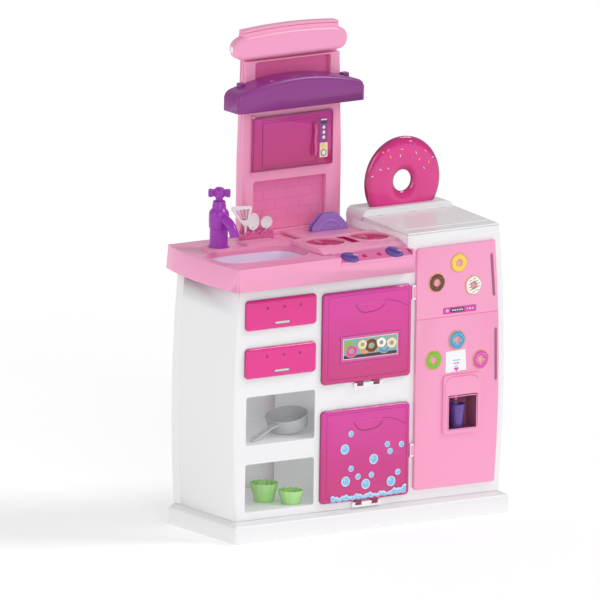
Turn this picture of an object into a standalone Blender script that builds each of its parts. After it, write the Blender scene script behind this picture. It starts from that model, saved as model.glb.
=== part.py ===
"""Toy kitchen: sink, hob, microwave tower, hood, oven, dishwasher, drawers and fridge.

Plan sizes are measured from the front left bottom corner of the base: X to the right, Y to the back,
Z up. Every object is parented to one empty, which moves the origin under the middle of the whole toy.
"""
import math

import bmesh
import bpy
from mathutils import Matrix, Vector

# ---- driving dimensions, metres ----
GAP = 0.0003                 # clearance between touching pieces
WALL = 0.0025                # wall of the moulded casings

BASE_WIDTH = 0.6735
BASE_DEPTH = 0.247
BASE_HEIGHT = 0.044
BASE_RIM = 0.037             # height of the base's upright edge
CENTRE = BASE_WIDTH / 2

BODY_FRONT = 0.020           # outer face of the cabinet front
BODY_BACK = 0.247
BACK_SHELL = 0.025           # depth of the rear casing
BULGE_HALF = 0.3325          # half width where the sides bulge most
BULGE_Z = 0.28
BULGE_RADIUS = 3.0
FLOOR_Z = 0.0612             # top of the lowest floor

COUNTER_BOTTOM = 0.528
COUNTER_TOP = 0.576
COUNTER_FRONT = -0.0095
COUNTER_BACK = 0.2825
COUNTER_RIGHT = 0.4270
COUNTER_WALL = 0.003
COUNTER_FLARE = 0.0037       # how far the left skirt leans out at its foot

DRAWER_COLUMN = (0.0285, 0.2020)     # outer edges of the drawer fronts
DOOR_COLUMN = (0.2170, 0.4350)       # outer edges of the oven and dishwasher doors
DIVIDER_X = 0.2430                   # left face of the divider, behind the oven door's edge
FRIDGE_X = 0.4277                    # left face of the fridge casing
FRIDGE_TOP = 0.602
DOOR_FRONT = 0.012                   # outer face of doors and drawer fronts
DOOR_BACK = BODY_FRONT - GAP
HINGE_Y = 0.0165                     # hinge axes of the big doors
HINGE_R = 0.0032                     # knuckle radius
PIN_R = 0.0012
PEG = 0.0036                         # how far a moulded hinge peg reaches into its lug
BORE_R = PIN_R + GAP

DRAWERS = {"upper": 0.440, "lower": 0.340}     # bottom edge of each drawer front
DRAWER_HEIGHT = 0.063
SHELVES = {"upper": (0.2003, 0.3007), "lower": (0.0615, 0.1603)}
DOORS = {"oven": (0.308, 0.499), "dishwasher": (0.060, 0.2535)}
DOOR_TABS = (0.311, 0.351)                     # centres of the two hinge tabs
TAB_WIDTH = 0.015
PIN_ENDS = (0.290, 0.372)                      # reach of the bores for the hinge pins

FRIDGE_DOOR = (0.4467, 0.067, 0.5695)          # left edge, bottom, top
FRIDGE_DOOR_INSET = 0.0175                     # right edge of the door from the body's side
FRIDGE_HINGE_X = 0.4420
FRIDGE_TABS = {"upper": (0.469, 0.491), "lower": (0.1415, 0.1605)}
DISPENSER = ((0.513, 0.177), (0.604, 0.299))   # outer corners of the dispenser bezel, X and Z
DISPENSER_MOUTH = ((0.527, 0.187), (0.5945, 0.2535))
DISPENSER_DEPTH = 0.052                        # rear face of the pocket

SINK = (0.1125, 0.103, 0.108, 0.0615)          # centre X, centre Y, half width, half depth
FAUCET = (0.078, 0.193)
HANDLE_TURN = -34.0                            # degrees by which the handle's four arms are turned
HOB = (0.2255, 0.0285, 0.4266, 0.150)          # platform corners X, Y
HOB_BROW = 0.052                               # Y where the platform's front slope reaches its top
HOB_TOP = 0.588
BURNERS = {"left": (0.274, 0.095), "right": (0.3845, 0.097)}
BURNER_R = 0.041
PANEL = (0.245, 0.4200, -0.0095, 0.0285)       # sloped control panel: X and Y limits
PANEL_LOW, PANEL_HIGH = 0.5645, 0.5795
KNOBS = {"left": 0.2756, "right": 0.3847}
BUTTONS = {"left": 0.3121, "right": 0.3480}
KNOB_R = 0.0190
BUTTON_R = 0.0050

TOWER = (0.179, 0.4205, 0.942)                 # left, right, top
TOWER_TAPER = 0.0070                           # narrowing of each side at the top
TOWER_FRONT = 0.258
TOWER_SPLIT = 0.270
MICROWAVE = (0.198, 0.7115, 0.3957, 0.824)
MICROWAVE_Y = (0.2520, 0.2577)
HOOD = (0.1296, 0.4417, 0.848, 0.203)          # left, right, bottom, front
CROWN = (0.1446, 0.4233, 0.950)
SIGN = (0.539, 0.2100, 0.6690, 0.0920)         # donut centre X, Y, Z and radius
RIDGE = (0.185, 0.247, 0.621)                  # front, back and top of the fridge's rear ridge
PAN = (0.1945, 0.1000)                         # centre of the frying pan's foot on the upper shelf
PAN_FOOT = 0.0400                              # radius of its foot
PAN_HEADING = math.radians(22.3)               # turn of its handle from the X axis
PAN_TIP = math.radians(13.2)                   # how far it tips over its foot's edge until the handle rests
CUPS = {"tall_cup": (0.0300, 0.0200, 0.0395, 0.1365, 0.1000),   # rim, foot, height, X and Y
        "small_cup": (0.0264, 0.0192, 0.0285, 0.1715, 0.0545)}
PLATE = (0.3616, 0.6184, 0.0465)               # middle X, top and corner radius of the octagonal plates
PLATE_ROWS = {"front_plate": 0.2060, "rear_plate": 0.2180}     # front face of each plate
PLATE_WELL = ((0.3130, 0.2025, 0.5300), (0.4102, 0.2255, 0.5760))
WELL_WALL = 0.0015

ORIGIN = Vector((0.3285, 0.1353, 0.0))         # middle of the bounding box, in base coordinates


def clear_scene():
    for item in list(bpy.data.objects):
        bpy.data.objects.remove(item, do_unlink=True)


def finish_for(name, color, roughness, metallic=0.0, alpha=1.0):
    mat = bpy.data.materials.new(name)
    mat.use_nodes = True
    shader = mat.node_tree.nodes["Principled BSDF"]
    shader.inputs["Base Color"].default_value = (*color, 1.0)
    shader.inputs["Roughness"].default_value = roughness
    shader.inputs["Metallic"].default_value = metallic
    shader.inputs["Alpha"].default_value = alpha
    mat.diffuse_color = (*color, 1.0)
    return mat


WHITE = ((0.86, 0.86, 0.87), 0.35)
PINK = ((0.90, 0.27, 0.50), 0.35)
MAGENTA = ((0.75, 0.04, 0.30), 0.25)
PURPLE = ((0.32, 0.14, 0.55), 0.30)
VIOLET = ((0.30, 0.02, 0.40), 0.20)
GREEN = ((0.35, 0.75, 0.25), 0.30)
GREY = ((0.55, 0.56, 0.57), 0.35)
LILAC = ((0.75, 0.55, 0.78), 0.20)
STEEL = ((0.60, 0.60, 0.62), 0.30, 1.0)
DARK = ((0.30, 0.02, 0.12), 0.40)


class Workshop:
    """Collections, the parent empty and the helpers that put objects into them."""

    def __init__(self):
        self.parts = bpy.data.collections.new("toy_kitchen")
        self.cutters = bpy.data.collections.new("cutters")
        for group in (self.parts, self.cutters):
            bpy.context.scene.collection.children.link(group)
        self.root = bpy.data.objects.new("kitchen_frame", None)
        self.root.location = -ORIGIN
        self.parts.objects.link(self.root)

    def add(self, name, mesh, finish=None, smooth=False):
        item = bpy.data.objects.new(name, mesh)
        item.parent = self.root
        if finish is None:
            item.hide_render = True
            item.display_type = "WIRE"
            self.cutters.objects.link(item)
        else:
            self.parts.objects.link(item)
            mesh.materials.append(finish_for(name, *finish))
        if smooth:
            mesh.shade_smooth()
            mesh.set_sharp_from_angle(angle=math.radians(40))
        return item


shop = None


def to_mesh(bm, name):
    mesh = bpy.data.meshes.new(name)
    bmesh.ops.recalc_face_normals(bm, faces=bm.faces)
    bm.to_mesh(mesh)
    bm.free()
    return mesh


def box_bm(low, high):
    bm = bmesh.new()
    bmesh.ops.create_cube(bm, size=1.0)
    low, high = Vector(low), Vector(high)
    size = high - low
    bmesh.ops.scale(bm, vec=size, verts=bm.verts)
    bmesh.ops.translate(bm, vec=(low + high) / 2, verts=bm.verts)
    return bm


def box(name, low, high, finish=None, round_edges=0.0):
    bm = box_bm(low, high)
    if round_edges:
        bmesh.ops.bevel(bm, geom=bm.edges[:], offset=round_edges, offset_type="OFFSET", segments=1,
                        profile=0.5, affect="EDGES", material=-1)
    return shop.add(name, to_mesh(bm, name), finish)


def open_box(name, low, high, wall, finish, mouth="+Z"):
    """A box with one open side, its wall inside the given size."""
    bm = box_bm(low, high)
    bm.faces.ensure_lookup_table()
    axis = {"X": 0, "Y": 1, "Z": 2}[mouth[1]]
    sign = 1 if mouth[0] == "+" else -1
    lid = max(bm.faces, key=lambda face: sign * face.calc_center_median()[axis])
    bmesh.ops.inset_region(bm, faces=[lid], thickness=wall, use_even_offset=True)
    depth = Vector((0.0, 0.0, 0.0))
    depth[axis] = -sign * (high[axis] - low[axis] - wall)
    pushed = bmesh.ops.extrude_discrete_faces(bm, faces=[lid])["faces"]
    bmesh.ops.translate(bm, vec=depth, verts=list({v for f in pushed for v in f.verts}))
    return shop.add(name, to_mesh(bm, name), finish)


PLANES = {"XY": Matrix.Identity(4),
          "XZ": Matrix.Rotation(math.radians(90), 4, "X"),
          "YZ": Matrix(((0, 0, 1, 0), (1, 0, 0, 0), (0, 1, 0, 0), (0, 0, 0, 1)))}
DEPTH_AXIS = {"XY": 2, "XZ": 1, "YZ": 0}


def plate(name, loops, plane, near, far, finish=None, smooth=False):
    """A flat outline, with the later loops as holes, extruded across its plane from near to far."""
    curve = bpy.data.curves.new(name, "CURVE")
    curve.dimensions = "2D"
    curve.fill_mode = "BOTH"
    curve.extrude = (far - near) / 2
    for loop in loops:
        spline = curve.splines.new("POLY")
        spline.points.add(len(loop) - 1)
        for point, (u, v) in zip(spline.points, loop):
            point.co = (u, v, 0.0, 1.0)
        spline.use_cyclic_u = True
    source = bpy.data.objects.new(name + "_outline", curve)
    bpy.context.scene.collection.objects.link(source)
    graph = bpy.context.evaluated_depsgraph_get()
    mesh = bpy.data.meshes.new_from_object(source.evaluated_get(graph))
    mesh.name = name
    bpy.data.objects.remove(source, do_unlink=True)
    shift = Vector((0.0, 0.0, 0.0))
    shift[DEPTH_AXIS[plane]] = (near + far) / 2
    bm = bmesh.new()
    bm.from_mesh(mesh)
    bmesh.ops.remove_doubles(bm, verts=bm.verts, dist=1e-6)
    bmesh.ops.transform(bm, matrix=Matrix.Translation(shift) @ PLANES[plane], verts=bm.verts)
    bmesh.ops.recalc_face_normals(bm, faces=bm.faces)
    bm.to_mesh(mesh)
    bm.free()
    mesh.materials.clear()
    return shop.add(name, mesh, finish, smooth)


def shell(name, outline, plane, near, far, open_side, finish, wall=WALL, shape=None, smooth=False):
    """An outline's extrusion with one side missing, given a wall that grows inwards.

    open_side is near, far, or an (axis, sign) pair for the side face lying furthest that way.
    """
    spot = {"XY": lambda u, v, w: (u, v, w), "XZ": lambda u, v, w: (u, w, v), "YZ": lambda u, v, w: (w, u, v)}
    bm = bmesh.new()
    ring = [bm.verts.new(spot[plane](u, v, near)) for u, v in outline]
    first = bm.faces.new(ring)
    moved = bmesh.ops.extrude_face_region(bm, geom=[first], use_keep_orig=True)["geom"]
    across = Vector((0.0, 0.0, 0.0))
    across[DEPTH_AXIS[plane]] = far - near
    bmesh.ops.translate(bm, vec=across, verts=[g for g in moved if isinstance(g, bmesh.types.BMVert)])
    if shape:
        for vert in bm.verts:
            vert.co = shape(vert.co)
    bmesh.ops.recalc_face_normals(bm, faces=bm.faces)
    if open_side in ("near", "far"):
        axis, sign = DEPTH_AXIS[plane], (-1 if (open_side == "near") == (far > near) else 1)
    else:
        axis, sign = open_side
    mouth = max(bm.faces, key=lambda face: sign * (face.calc_center_median()[axis] + 1e-3 * face.normal[axis]))
    bmesh.ops.delete(bm, geom=[mouth], context="FACES_ONLY")
    mesh = bpy.data.meshes.new(name)
    bm.to_mesh(mesh)
    bm.free()
    item = shop.add(name, mesh, finish, smooth)
    thick = item.modifiers.new("wall", "SOLIDIFY")
    thick.thickness = wall
    thick.offset = -1.0
    thick.use_even_offset = True
    return item


def turned(name, profile, steps, centre, finish=None, turn=None, smooth=True):
    """A profile of (radius, height) points, listed down the outer side, spun about Z."""
    bm = bmesh.new()
    verts = [bm.verts.new((r, 0.0, z)) for r, z in profile]
    for first, second in zip(verts, verts[1:]):
        bm.edges.new((first, second))
    mesh = bpy.data.meshes.new(name)
    bm.to_mesh(mesh)
    bm.free()
    item = shop.add(name, mesh, finish)
    item.location = centre
    if turn:
        item.rotation_euler = turn
    spin = item.modifiers.new("turn", "SCREW")
    spin.steps = spin.render_steps = steps
    spin.screw_offset = 0.0
    spin.use_merge_vertices = True
    spin.merge_threshold = 1e-5
    spin.use_smooth_shade = smooth
    return item


def rod(name, start, end, radius, finish=None, sides=12):
    bm = bmesh.new()
    start, end = Vector(start), Vector(end)
    length = (end - start).length
    place = Matrix.Translation((start + end) / 2) @ (end - start).to_track_quat("Z", "Y").to_matrix().to_4x4()
    bmesh.ops.create_cone(bm, cap_ends=True, segments=sides, radius1=radius, radius2=radius, depth=length,
                          matrix=place)
    return shop.add(name, to_mesh(bm, name), finish)


def tube(name, route, radius, finish=None):
    """A round bar along a smooth curve through the given points, made a closed mesh."""
    curve = bpy.data.curves.new(name, "CURVE")
    curve.dimensions = "3D"
    curve.bevel_depth = radius
    curve.bevel_resolution = 2
    curve.use_fill_caps = True
    curve.resolution_u = 3
    spline = curve.splines.new("BEZIER")
    spline.bezier_points.add(len(route) - 1)
    for point, place in zip(spline.bezier_points, route):
        point.co = place
        point.handle_left_type = point.handle_right_type = "AUTO"
    source = bpy.data.objects.new(name + "_route", curve)
    bpy.context.scene.collection.objects.link(source)
    graph = bpy.context.evaluated_depsgraph_get()
    mesh = bpy.data.meshes.new_from_object(source.evaluated_get(graph))
    bpy.data.objects.remove(source, do_unlink=True)
    bm = bmesh.new()
    bm.from_mesh(mesh)
    bmesh.ops.remove_doubles(bm, verts=bm.verts, dist=1e-6)
    bpy.data.meshes.remove(mesh)
    return shop.add(name, to_mesh(bm, name), finish)


def boolean(target, other, operation):
    step = target.modifiers.new(operation.lower() + "_" + other.name, "BOOLEAN")
    step.operation = operation
    step.solver = "EXACT"
    step.object = other
    return target


def cut(target, *others):
    for other in others:
        boolean(target, other, "DIFFERENCE")
    return target


def join(target, *others):
    for other in others:
        boolean(target, other, "UNION")
    return target


def pivot(item, point):
    """Puts the object's origin on its joint's axis without moving its shape."""
    point = Vector(point)
    item.data.transform(Matrix.Translation(item.location - point))
    item.location = point


def rounded(x0, z0, x1, z1, radius, steps=3):
    """A rectangle's outline with rounded corners, anticlockwise."""
    points = []
    corners = ((x1 - radius, z0 + radius, -90), (x1 - radius, z1 - radius, 0),
               (x0 + radius, z1 - radius, 90), (x0 + radius, z0 + radius, 180))
    for cx, cz, start in corners:
        for step in range(steps + 1):
            angle = math.radians(start + 90 * step / steps)
            points.append((cx + radius * math.cos(angle), cz + radius * math.sin(angle)))
    return points


def circle(x, z, radius, steps=24):
    return [(x + radius * math.cos(2 * math.pi * i / steps), z + radius * math.sin(2 * math.pi * i / steps))
            for i in range(steps)]


def superellipse(cx, cy, half_x, half_y, power, steps):
    points = []
    for i in range(steps):
        c, s = math.cos(2 * math.pi * i / steps), math.sin(2 * math.pi * i / steps)
        points.append((cx + half_x * math.copysign(abs(c) ** (2 / power), c),
                       cy + half_y * math.copysign(abs(s) ** (2 / power), s)))
    return points


def half_width(z):
    """The cabinet's half width at a height: its sides bulge like a barrel."""
    return BULGE_HALF - (z - BULGE_Z) ** 2 / (2 * BULGE_RADIUS)


def side_line(sign, low, high, inset=0.0, steps=8):
    heights = [low + (high - low) * i / steps for i in range(steps + 1)]
    return [(CENTRE + sign * (half_width(z) - inset), z) for z in heights]


def counter_left(y):
    """X of the countertop's curved left end."""
    return -0.0128 + 0.72 * (y - 0.09) ** 2


def panel_z(y):
    """Height of the sloped control panel."""
    return PANEL_LOW + (y - PANEL[2]) * (PANEL_HIGH - PANEL_LOW) / (PANEL[3] - PANEL[2])


PANEL_TILT = math.atan2(PANEL_HIGH - PANEL_LOW, PANEL[3] - PANEL[2])


# ---- casing ----

def make_base():
    bm = box_bm((0, 0, 0), (BASE_WIDTH, BASE_DEPTH, BASE_RIM))
    bm.faces.ensure_lookup_table()
    top = max(bm.faces, key=lambda face: face.calc_center_median().z)
    ledge = bmesh.ops.extrude_discrete_faces(bm, faces=[top])["faces"][0]
    side = CENTRE - half_width(BASE_HEIGHT) - 0.001
    for vert in ledge.verts:
        vert.co.z = BASE_HEIGHT
        vert.co.x += side if vert.co.x < CENTRE else -side
        vert.co.y += BODY_FRONT - 0.001 if vert.co.y < BASE_DEPTH / 2 else 0.0
    floor = min(bm.faces, key=lambda face: face.calc_center_median().z)
    bmesh.ops.inset_region(bm, faces=[floor], thickness=0.005, use_even_offset=True)
    pushed = bmesh.ops.extrude_discrete_faces(bm, faces=[floor])["faces"]
    bmesh.ops.translate(bm, vec=(0, 0, BASE_RIM - 0.006), verts=list({v for f in pushed for v in f.verts}))
    shop.add("base_plinth", to_mesh(bm, "base_plinth"), WHITE)


def make_side_panels():
    for name, sign, top in (("left_side_panel", -1, COUNTER_BOTTOM - GAP),
                            ("right_side_panel", 1, FRIDGE_TOP - 0.0037)):
        outer = side_line(sign, BASE_HEIGHT + GAP, top)
        inner = side_line(sign, BASE_HEIGHT + GAP, top, inset=WALL)
        plate(name, [outer + inner[::-1]], "XZ", BODY_FRONT + WALL + GAP, BODY_BACK - BACK_SHELL - GAP, WHITE)


def make_back_panel():
    low, counter, top = BASE_HEIGHT + GAP, COUNTER_BOTTOM - GAP, FRIDGE_TOP - 0.0037
    outline = (side_line(1, low, top, steps=6) + [(FRIDGE_X, top), (FRIDGE_X, counter)]
               + side_line(-1, low, counter, steps=6)[::-1])
    shell("back_panel", outline, "XZ", BODY_BACK - BACK_SHELL, BODY_BACK, "near", WHITE)


def make_front_frames():
    low, top = BASE_HEIGHT + GAP, COUNTER_BOTTOM - GAP
    near, far = BODY_FRONT, BODY_FRONT + WALL
    right = DIVIDER_X + WALL
    holes = [rounded(0.036, z + 0.005, 0.1945, z + DRAWER_HEIGHT - 0.005, 0.001, 1) for z in DRAWERS.values()]
    holes += [rounded(0.0355, z0, 0.2050, z1, 0.005) for z0, z1 in SHELVES.values()]
    plate("left_front_frame", [side_line(-1, low, top)[::-1] + [(right, low), (right, top)]] + holes,
          "XZ", near, far, WHITE)

    left, edge = right + GAP, FRIDGE_X - GAP
    holes = [rounded(left + 0.0060, z0 + 0.0075, 0.4195, z1 - 0.0075, 0.006) for z0, z1 in DOORS.values()]
    middle = plate("middle_front_frame", [[(left, low), (edge, low), (edge, top), (left, top)]] + holes,
                   "XZ", near, far, WHITE)
    for door, (z0, _) in DOORS.items():
        axis_z = z0 - 0.006
        comb = [(0.2960, axis_z - 0.0080), (0.3660, axis_z - 0.0080)]
        for tab in DOOR_TABS[::-1]:
            edge_right, edge_left = tab + TAB_WIDTH / 2 + GAP, tab - TAB_WIDTH / 2 - GAP
            comb += [(edge_right, axis_z + HINGE_R), (edge_right, axis_z - HINGE_R - GAP),
                     (edge_left, axis_z - HINGE_R - GAP), (edge_left, axis_z + HINGE_R)]
        comb.insert(2, (0.3660, axis_z + HINGE_R))
        comb.append((0.2960, axis_z + HINGE_R))
        bracket = plate(door + "_bracket", [comb], "XZ", HINGE_Y - HINGE_R, BODY_FRONT + 0.001)
        bore = rod(door + "_bracket_bore", (PIN_ENDS[0], HINGE_Y, axis_z),
                   (PIN_ENDS[1], HINGE_Y, axis_z), BORE_R, sides=10)
        cut(join(middle, bracket), bore)
        rod(door + "_hinge_pin", (0.2965, HINGE_Y, axis_z), (0.3655, HINGE_Y, axis_z), PIN_R, STEEL, sides=10)

    top = FRIDGE_TOP - 0.0037
    hole = ([(0.4560, 0.0745)] + side_line(1, 0.0745, 0.562, inset=FRIDGE_DOOR_INSET + 0.0085, steps=6)
            + [(0.4560, 0.562)])
    outline = [(FRIDGE_X, low)] + side_line(1, low, top) + [(FRIDGE_X, top)]
    fridge = plate("fridge_front_frame", [outline, hole],
                   "XZ", near, far, WHITE)
    for end, (z0, z1) in FRIDGE_TABS.items():
        x = FRIDGE_HINGE_X
        clip = [(x - 0.0054, z0 - 0.0040), (x + HINGE_R, z0 - 0.0040), (x + HINGE_R, z0 - GAP),
                (x - HINGE_R - GAP, z0 - GAP), (x - HINGE_R - GAP, z1 + GAP), (x + HINGE_R, z1 + GAP),
                (x + HINGE_R, z1 + 0.0040), (x - 0.0054, z1 + 0.0040)]
        bracket = plate("fridge_clip_" + end, [clip], "XZ", HINGE_Y - HINGE_R, BODY_FRONT + 0.001)
        bore = rod("fridge_clip_bore_" + end, (x, HINGE_Y, z0 - 0.006), (x, HINGE_Y, z1 + 0.006), BORE_R,
                   sides=10)
        cut(join(fridge, bracket), bore)


def make_inner_panels():
    near, far = BODY_FRONT + WALL + GAP, BODY_BACK - BACK_SHELL - GAP
    left, right = CENTRE - half_width(0.06) + 0.0035, CENTRE + half_width(0.06) - 0.0035
    box("floor_panel", (left, near, FLOOR_Z - 0.0027), (right, far, FLOOR_Z), WHITE)
    foot = FLOOR_Z + GAP
    box("cabinet_divider", (DIVIDER_X, near, foot), (DIVIDER_X + WALL, far, COUNTER_BOTTOM - GAP), WHITE)
    box("fridge_divider", (FRIDGE_X, near, foot), (FRIDGE_X + WALL, far, FRIDGE_TOP - 0.0037), WHITE)
    decks = {"upper_drawer_deck": DRAWERS["upper"] + 0.005, "lower_drawer_deck": DRAWERS["lower"] + 0.005,
             "shelf_deck": SHELVES["upper"][0] - GAP}
    for name, top in decks.items():
        box(name, (0.0125, near, top - WALL), (DIVIDER_X - GAP, far, top), WHITE)
    box("oven_deck", (DIVIDER_X + WALL + GAP, near, 0.2990), (FRIDGE_X - GAP, far, 0.3020), WHITE)
    box("fridge_shelf", (FRIDGE_X + WALL + GAP, near + 0.010, 0.3700 - WALL), (0.6620, far, 0.3700), WHITE)


def make_racks():
    """A grid shelf in the oven and a slotted basket in the dishwasher."""
    x0, x1 = DIVIDER_X + WALL + 0.003, FRIDGE_X - 0.003
    spacing, bar = (x1 - x0 - 0.008) / 9, 0.004
    starts = [x0 + 0.004 + spacing * i for i in range(9)]
    slots = [rounded(start + bar / 2, 0.040, start + spacing - bar / 2, 0.206, 0.001, 1) for start in starts]
    plate("oven_rack", [rounded(x0, 0.030, x1, 0.216, 0.004, 2)] + slots, "XY", 0.395, 0.398, GREY)
    basket = open_box("dish_basket", (x0, 0.0300, 0.0860), (x1, 0.2100, 0.1380), WALL, MAGENTA)
    for i in range(8):
        x = x0 + 0.022 + i * 0.0170
        cut(basket, box("basket_slot_%d" % i, (x, 0.020, 0.0960), (x + 0.006, 0.0350, 0.1280)))


# ---- countertop ----

def make_countertop():
    left = [(counter_left(y), y) for y in (0.2825, 0.24, 0.19, 0.14, 0.09, 0.04, 0.0)]
    outline = [(COUNTER_RIGHT, COUNTER_FRONT), (COUNTER_RIGHT, COUNTER_BACK)]
    outline += left + [(0.001, COUNTER_FRONT)]

    def flare(co):
        if co.z < COUNTER_TOP - 0.02 and co.x < 0.05:
            return Vector((co.x - COUNTER_FLARE, co.y, co.z))
        return co
    top = shell("countertop", outline, "XY", COUNTER_BOTTOM, COUNTER_TOP, "near", PINK, wall=COUNTER_WALL,
                shape=flare)
    sink = plate("sink_cutter", [superellipse(*SINK, 3.4, 28)], "XY", COUNTER_TOP - 0.01, COUNTER_TOP + 0.01)
    well = box("rack_cutter", (0.1625, 0.2215, COUNTER_TOP - 0.01), (0.2340, 0.2465, COUNTER_TOP + 0.01))
    notch = box("panel_cutter", (PANEL[0] - GAP, COUNTER_FRONT - 0.01, PANEL_LOW - 0.004 - GAP),
                (PANEL[1] + GAP, HOB[1] + 0.0055 + GAP, COUNTER_TOP + 0.01))
    (wx0, wy0, _), (wx1, wy1, _) = PLATE_WELL
    plates = box("plate_well_cutter", (wx0 - GAP, wy0 - GAP, COUNTER_TOP - 0.01),
                 (wx1 + GAP, wy1 + GAP, COUNTER_TOP + 0.01))
    cut(top, sink, well, plates, notch)


def make_sink():
    rim = superellipse(SINK[0], SINK[1], SINK[2] - GAP, SINK[3] - GAP, 3.4, 28)

    def draw_in(co):
        if co.z > COUNTER_TOP - 0.010:
            return co
        return Vector((SINK[0] + (co.x - SINK[0]) * 0.93, SINK[1] + (co.y - SINK[1]) * 0.90, co.z))
    shell("sink_basin", rim, "XY", COUNTER_TOP - 0.027, COUNTER_TOP - GAP, "far", LILAC, wall=0.002,
          shape=draw_in)


def make_faucet():
    x, y = FAUCET
    z = COUNTER_TOP + GAP
    body = turned("faucet_body", [(0.0, 0.1010), (0.0135, 0.1005), (0.0142, 0.0850), (0.0200, 0.0780),
                                  (0.0210, 0.0600), (0.0205, 0.0440), (0.0187, 0.0410), (0.0187, 0.0060),
                                  (0.0220, 0.0030), (0.0220, 0.0), (0.0, 0.0)], 20, (x, y, z), VIOLET)
    route = [(x, y - 0.006, z + 0.0640), (x, y - 0.022, z + 0.0640), (x, y - 0.040, z + 0.0570),
             (x, y - 0.052, z + 0.0460), (x, y - 0.057, z + 0.0335)]
    join(body, tube("spout_form", route, 0.0100))
    turn = math.radians(HANDLE_TURN)
    lobes = []
    for i in range(40):
        angle = 2 * math.pi * i / 40
        reach = 0.0175 + 0.0050 * math.cos(4 * (angle - turn))
        lobes.append((x + reach * math.cos(angle), y + reach * math.sin(angle)))
    top = z + 0.1015
    handle = plate("faucet_handle", [lobes], "XY", top + 0.004, top + 0.027, VIOLET)
    neck = rod("handle_neck", (x, y, top), (x, y, top + 0.006), 0.008, sides=16)
    join(handle, neck)
    pivot(handle, (x, y, top))


def make_hob():
    rear = HOB[1] + 0.0055
    outline = [(PANEL[2], PANEL_LOW - 0.004), (rear, PANEL_LOW - 0.004), (rear, PANEL_HIGH + 0.001),
               (PANEL[3], PANEL_HIGH), (PANEL[2], PANEL_LOW)]
    panel = plate("hob_plate", [outline], "YZ", PANEL[0], PANEL[1], PINK)
    for name, x, radius in (("knob_hole_left", KNOBS["left"], 0.0045),
                            ("knob_hole_right", KNOBS["right"], 0.0045),
                            ("button_hole_left", BUTTONS["left"], BUTTON_R + 0.0005),
                            ("button_hole_right", BUTTONS["right"], BUTTON_R + 0.0005)):
        centre = Vector((x, 0.0065, panel_z(0.0065)))
        normal = Vector((0, -math.sin(PANEL_TILT), math.cos(PANEL_TILT)))
        depth = 0.0042 if "button" in name else 0.0050
        cut(panel, rod(name, centre - normal * depth, centre + normal * 0.01, radius, sides=14))

    low = COUNTER_TOP + GAP
    platform = [(HOB[1], low), (HOB[3], low), (HOB[3], HOB_TOP), (HOB_BROW, HOB_TOP), (HOB[1], PANEL_HIGH)]
    deck = join(panel, plate("hob_platform_form", [platform], "YZ", HOB[0], HOB[2]))
    for side, (x, y) in BURNERS.items():
        cut(deck, rod("burner_seat_" + side, (x, y, HOB_TOP - 0.006), (x, y, HOB_TOP + 0.01), BURNER_R,
                      sides=28))
        rim = BURNER_R - GAP
        turned(side + "_burner", [(0.0, -0.0035), (0.012, -0.0030), (0.030, -0.0035), (rim, -0.0035),
                                  (rim, -0.0057), (0.0, -0.0057)], 28, (x, y, HOB_TOP), MAGENTA)
    slot = box("spoon_rest_cutter", (0.3195, 0.062, HOB_TOP - 0.005), (0.3400, 0.123, HOB_TOP + 0.01))
    cut(deck, slot)


def make_controls():
    tilt = (PANEL_TILT, 0.0, 0.0)
    for side, x in KNOBS.items():
        turned(side + "_knob", [(0.0, 0.0085), (0.013, 0.0080), (KNOB_R - 0.001, 0.0045), (KNOB_R, 0.0008),
                                (KNOB_R, GAP), (0.0042, GAP), (0.0042, -0.0045), (0.0, -0.0045)],
               24, (x, 0.0065, panel_z(0.0065)), PURPLE, turn=tilt)
    for side, x in BUTTONS.items():
        turned(side + "_button", [(0.0, 0.0035), (0.0030, 0.0028), (BUTTON_R, 0.0), (BUTTON_R, -0.0015),
                                  (0.0, -0.0015)], 16, (x, 0.0065, panel_z(0.0065)), MAGENTA, turn=tilt)


def make_plate_rack():
    """A seat on the worktop with two slots, and a well under it, in which the plates stand half sunk."""
    low = COUNTER_TOP + GAP
    x, top, reach = PLATE
    middle = top - reach * math.cos(math.radians(22.5))
    rack = box("plate_rack", (0.2720, 0.1630, low), (0.4266, 0.2500, low + 0.007), PINK, round_edges=0.002)
    open_box("plate_well", PLATE_WELL[0], PLATE_WELL[1], WELL_WALL, PINK)
    for name, y in PLATE_ROWS.items():
        cut(rack, box(name + "_slot", (x - reach, y - GAP * 2, low - 0.01),
                      (x + reach, y + 0.0046, low + 0.02)))
        octagon = [(x + reach * math.cos(math.radians(22.5 + 45 * i)),
                    middle + reach * math.sin(math.radians(22.5 + 45 * i))) for i in range(8)]
        item = plate(name, [octagon], "XZ", y, y + 0.0040, PURPLE)
        pivot(item, (x, y, middle))


def make_utensils():
    open_box("utensil_rack", (0.1628, 0.2218, 0.5360), (0.2337, 0.2462, 0.5980), 0.002, MAGENTA)
    turner = [(0.1640, 0.6080), (0.1725, 0.6070), (0.1830, 0.6430), (0.1800, 0.6480), (0.1350, 0.6520),
              (0.1315, 0.6480)]
    heads = {"turner": (0.1685, 0.2275, turner),
             "ladle": (0.1930, 0.2320, superellipse(0.1900, 0.6139, 0.0143, 0.0180, 2.0, 20)),
             "serving_spoon": (0.2210, 0.2365, superellipse(0.2250, 0.6101, 0.0145, 0.0114, 2.0, 20))}
    for name, (x, y, head) in heads.items():
        stem = box(name, (x - 0.0022, y, 0.5385), (x + 0.0022, y + 0.0025, 0.6120), WHITE)
        join(stem, plate(name + "_head", [head], "XZ", y - 0.0005, y + 0.0030))
        pivot(stem, (x, y, 0.5385))


# ---- fridge ----

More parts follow.
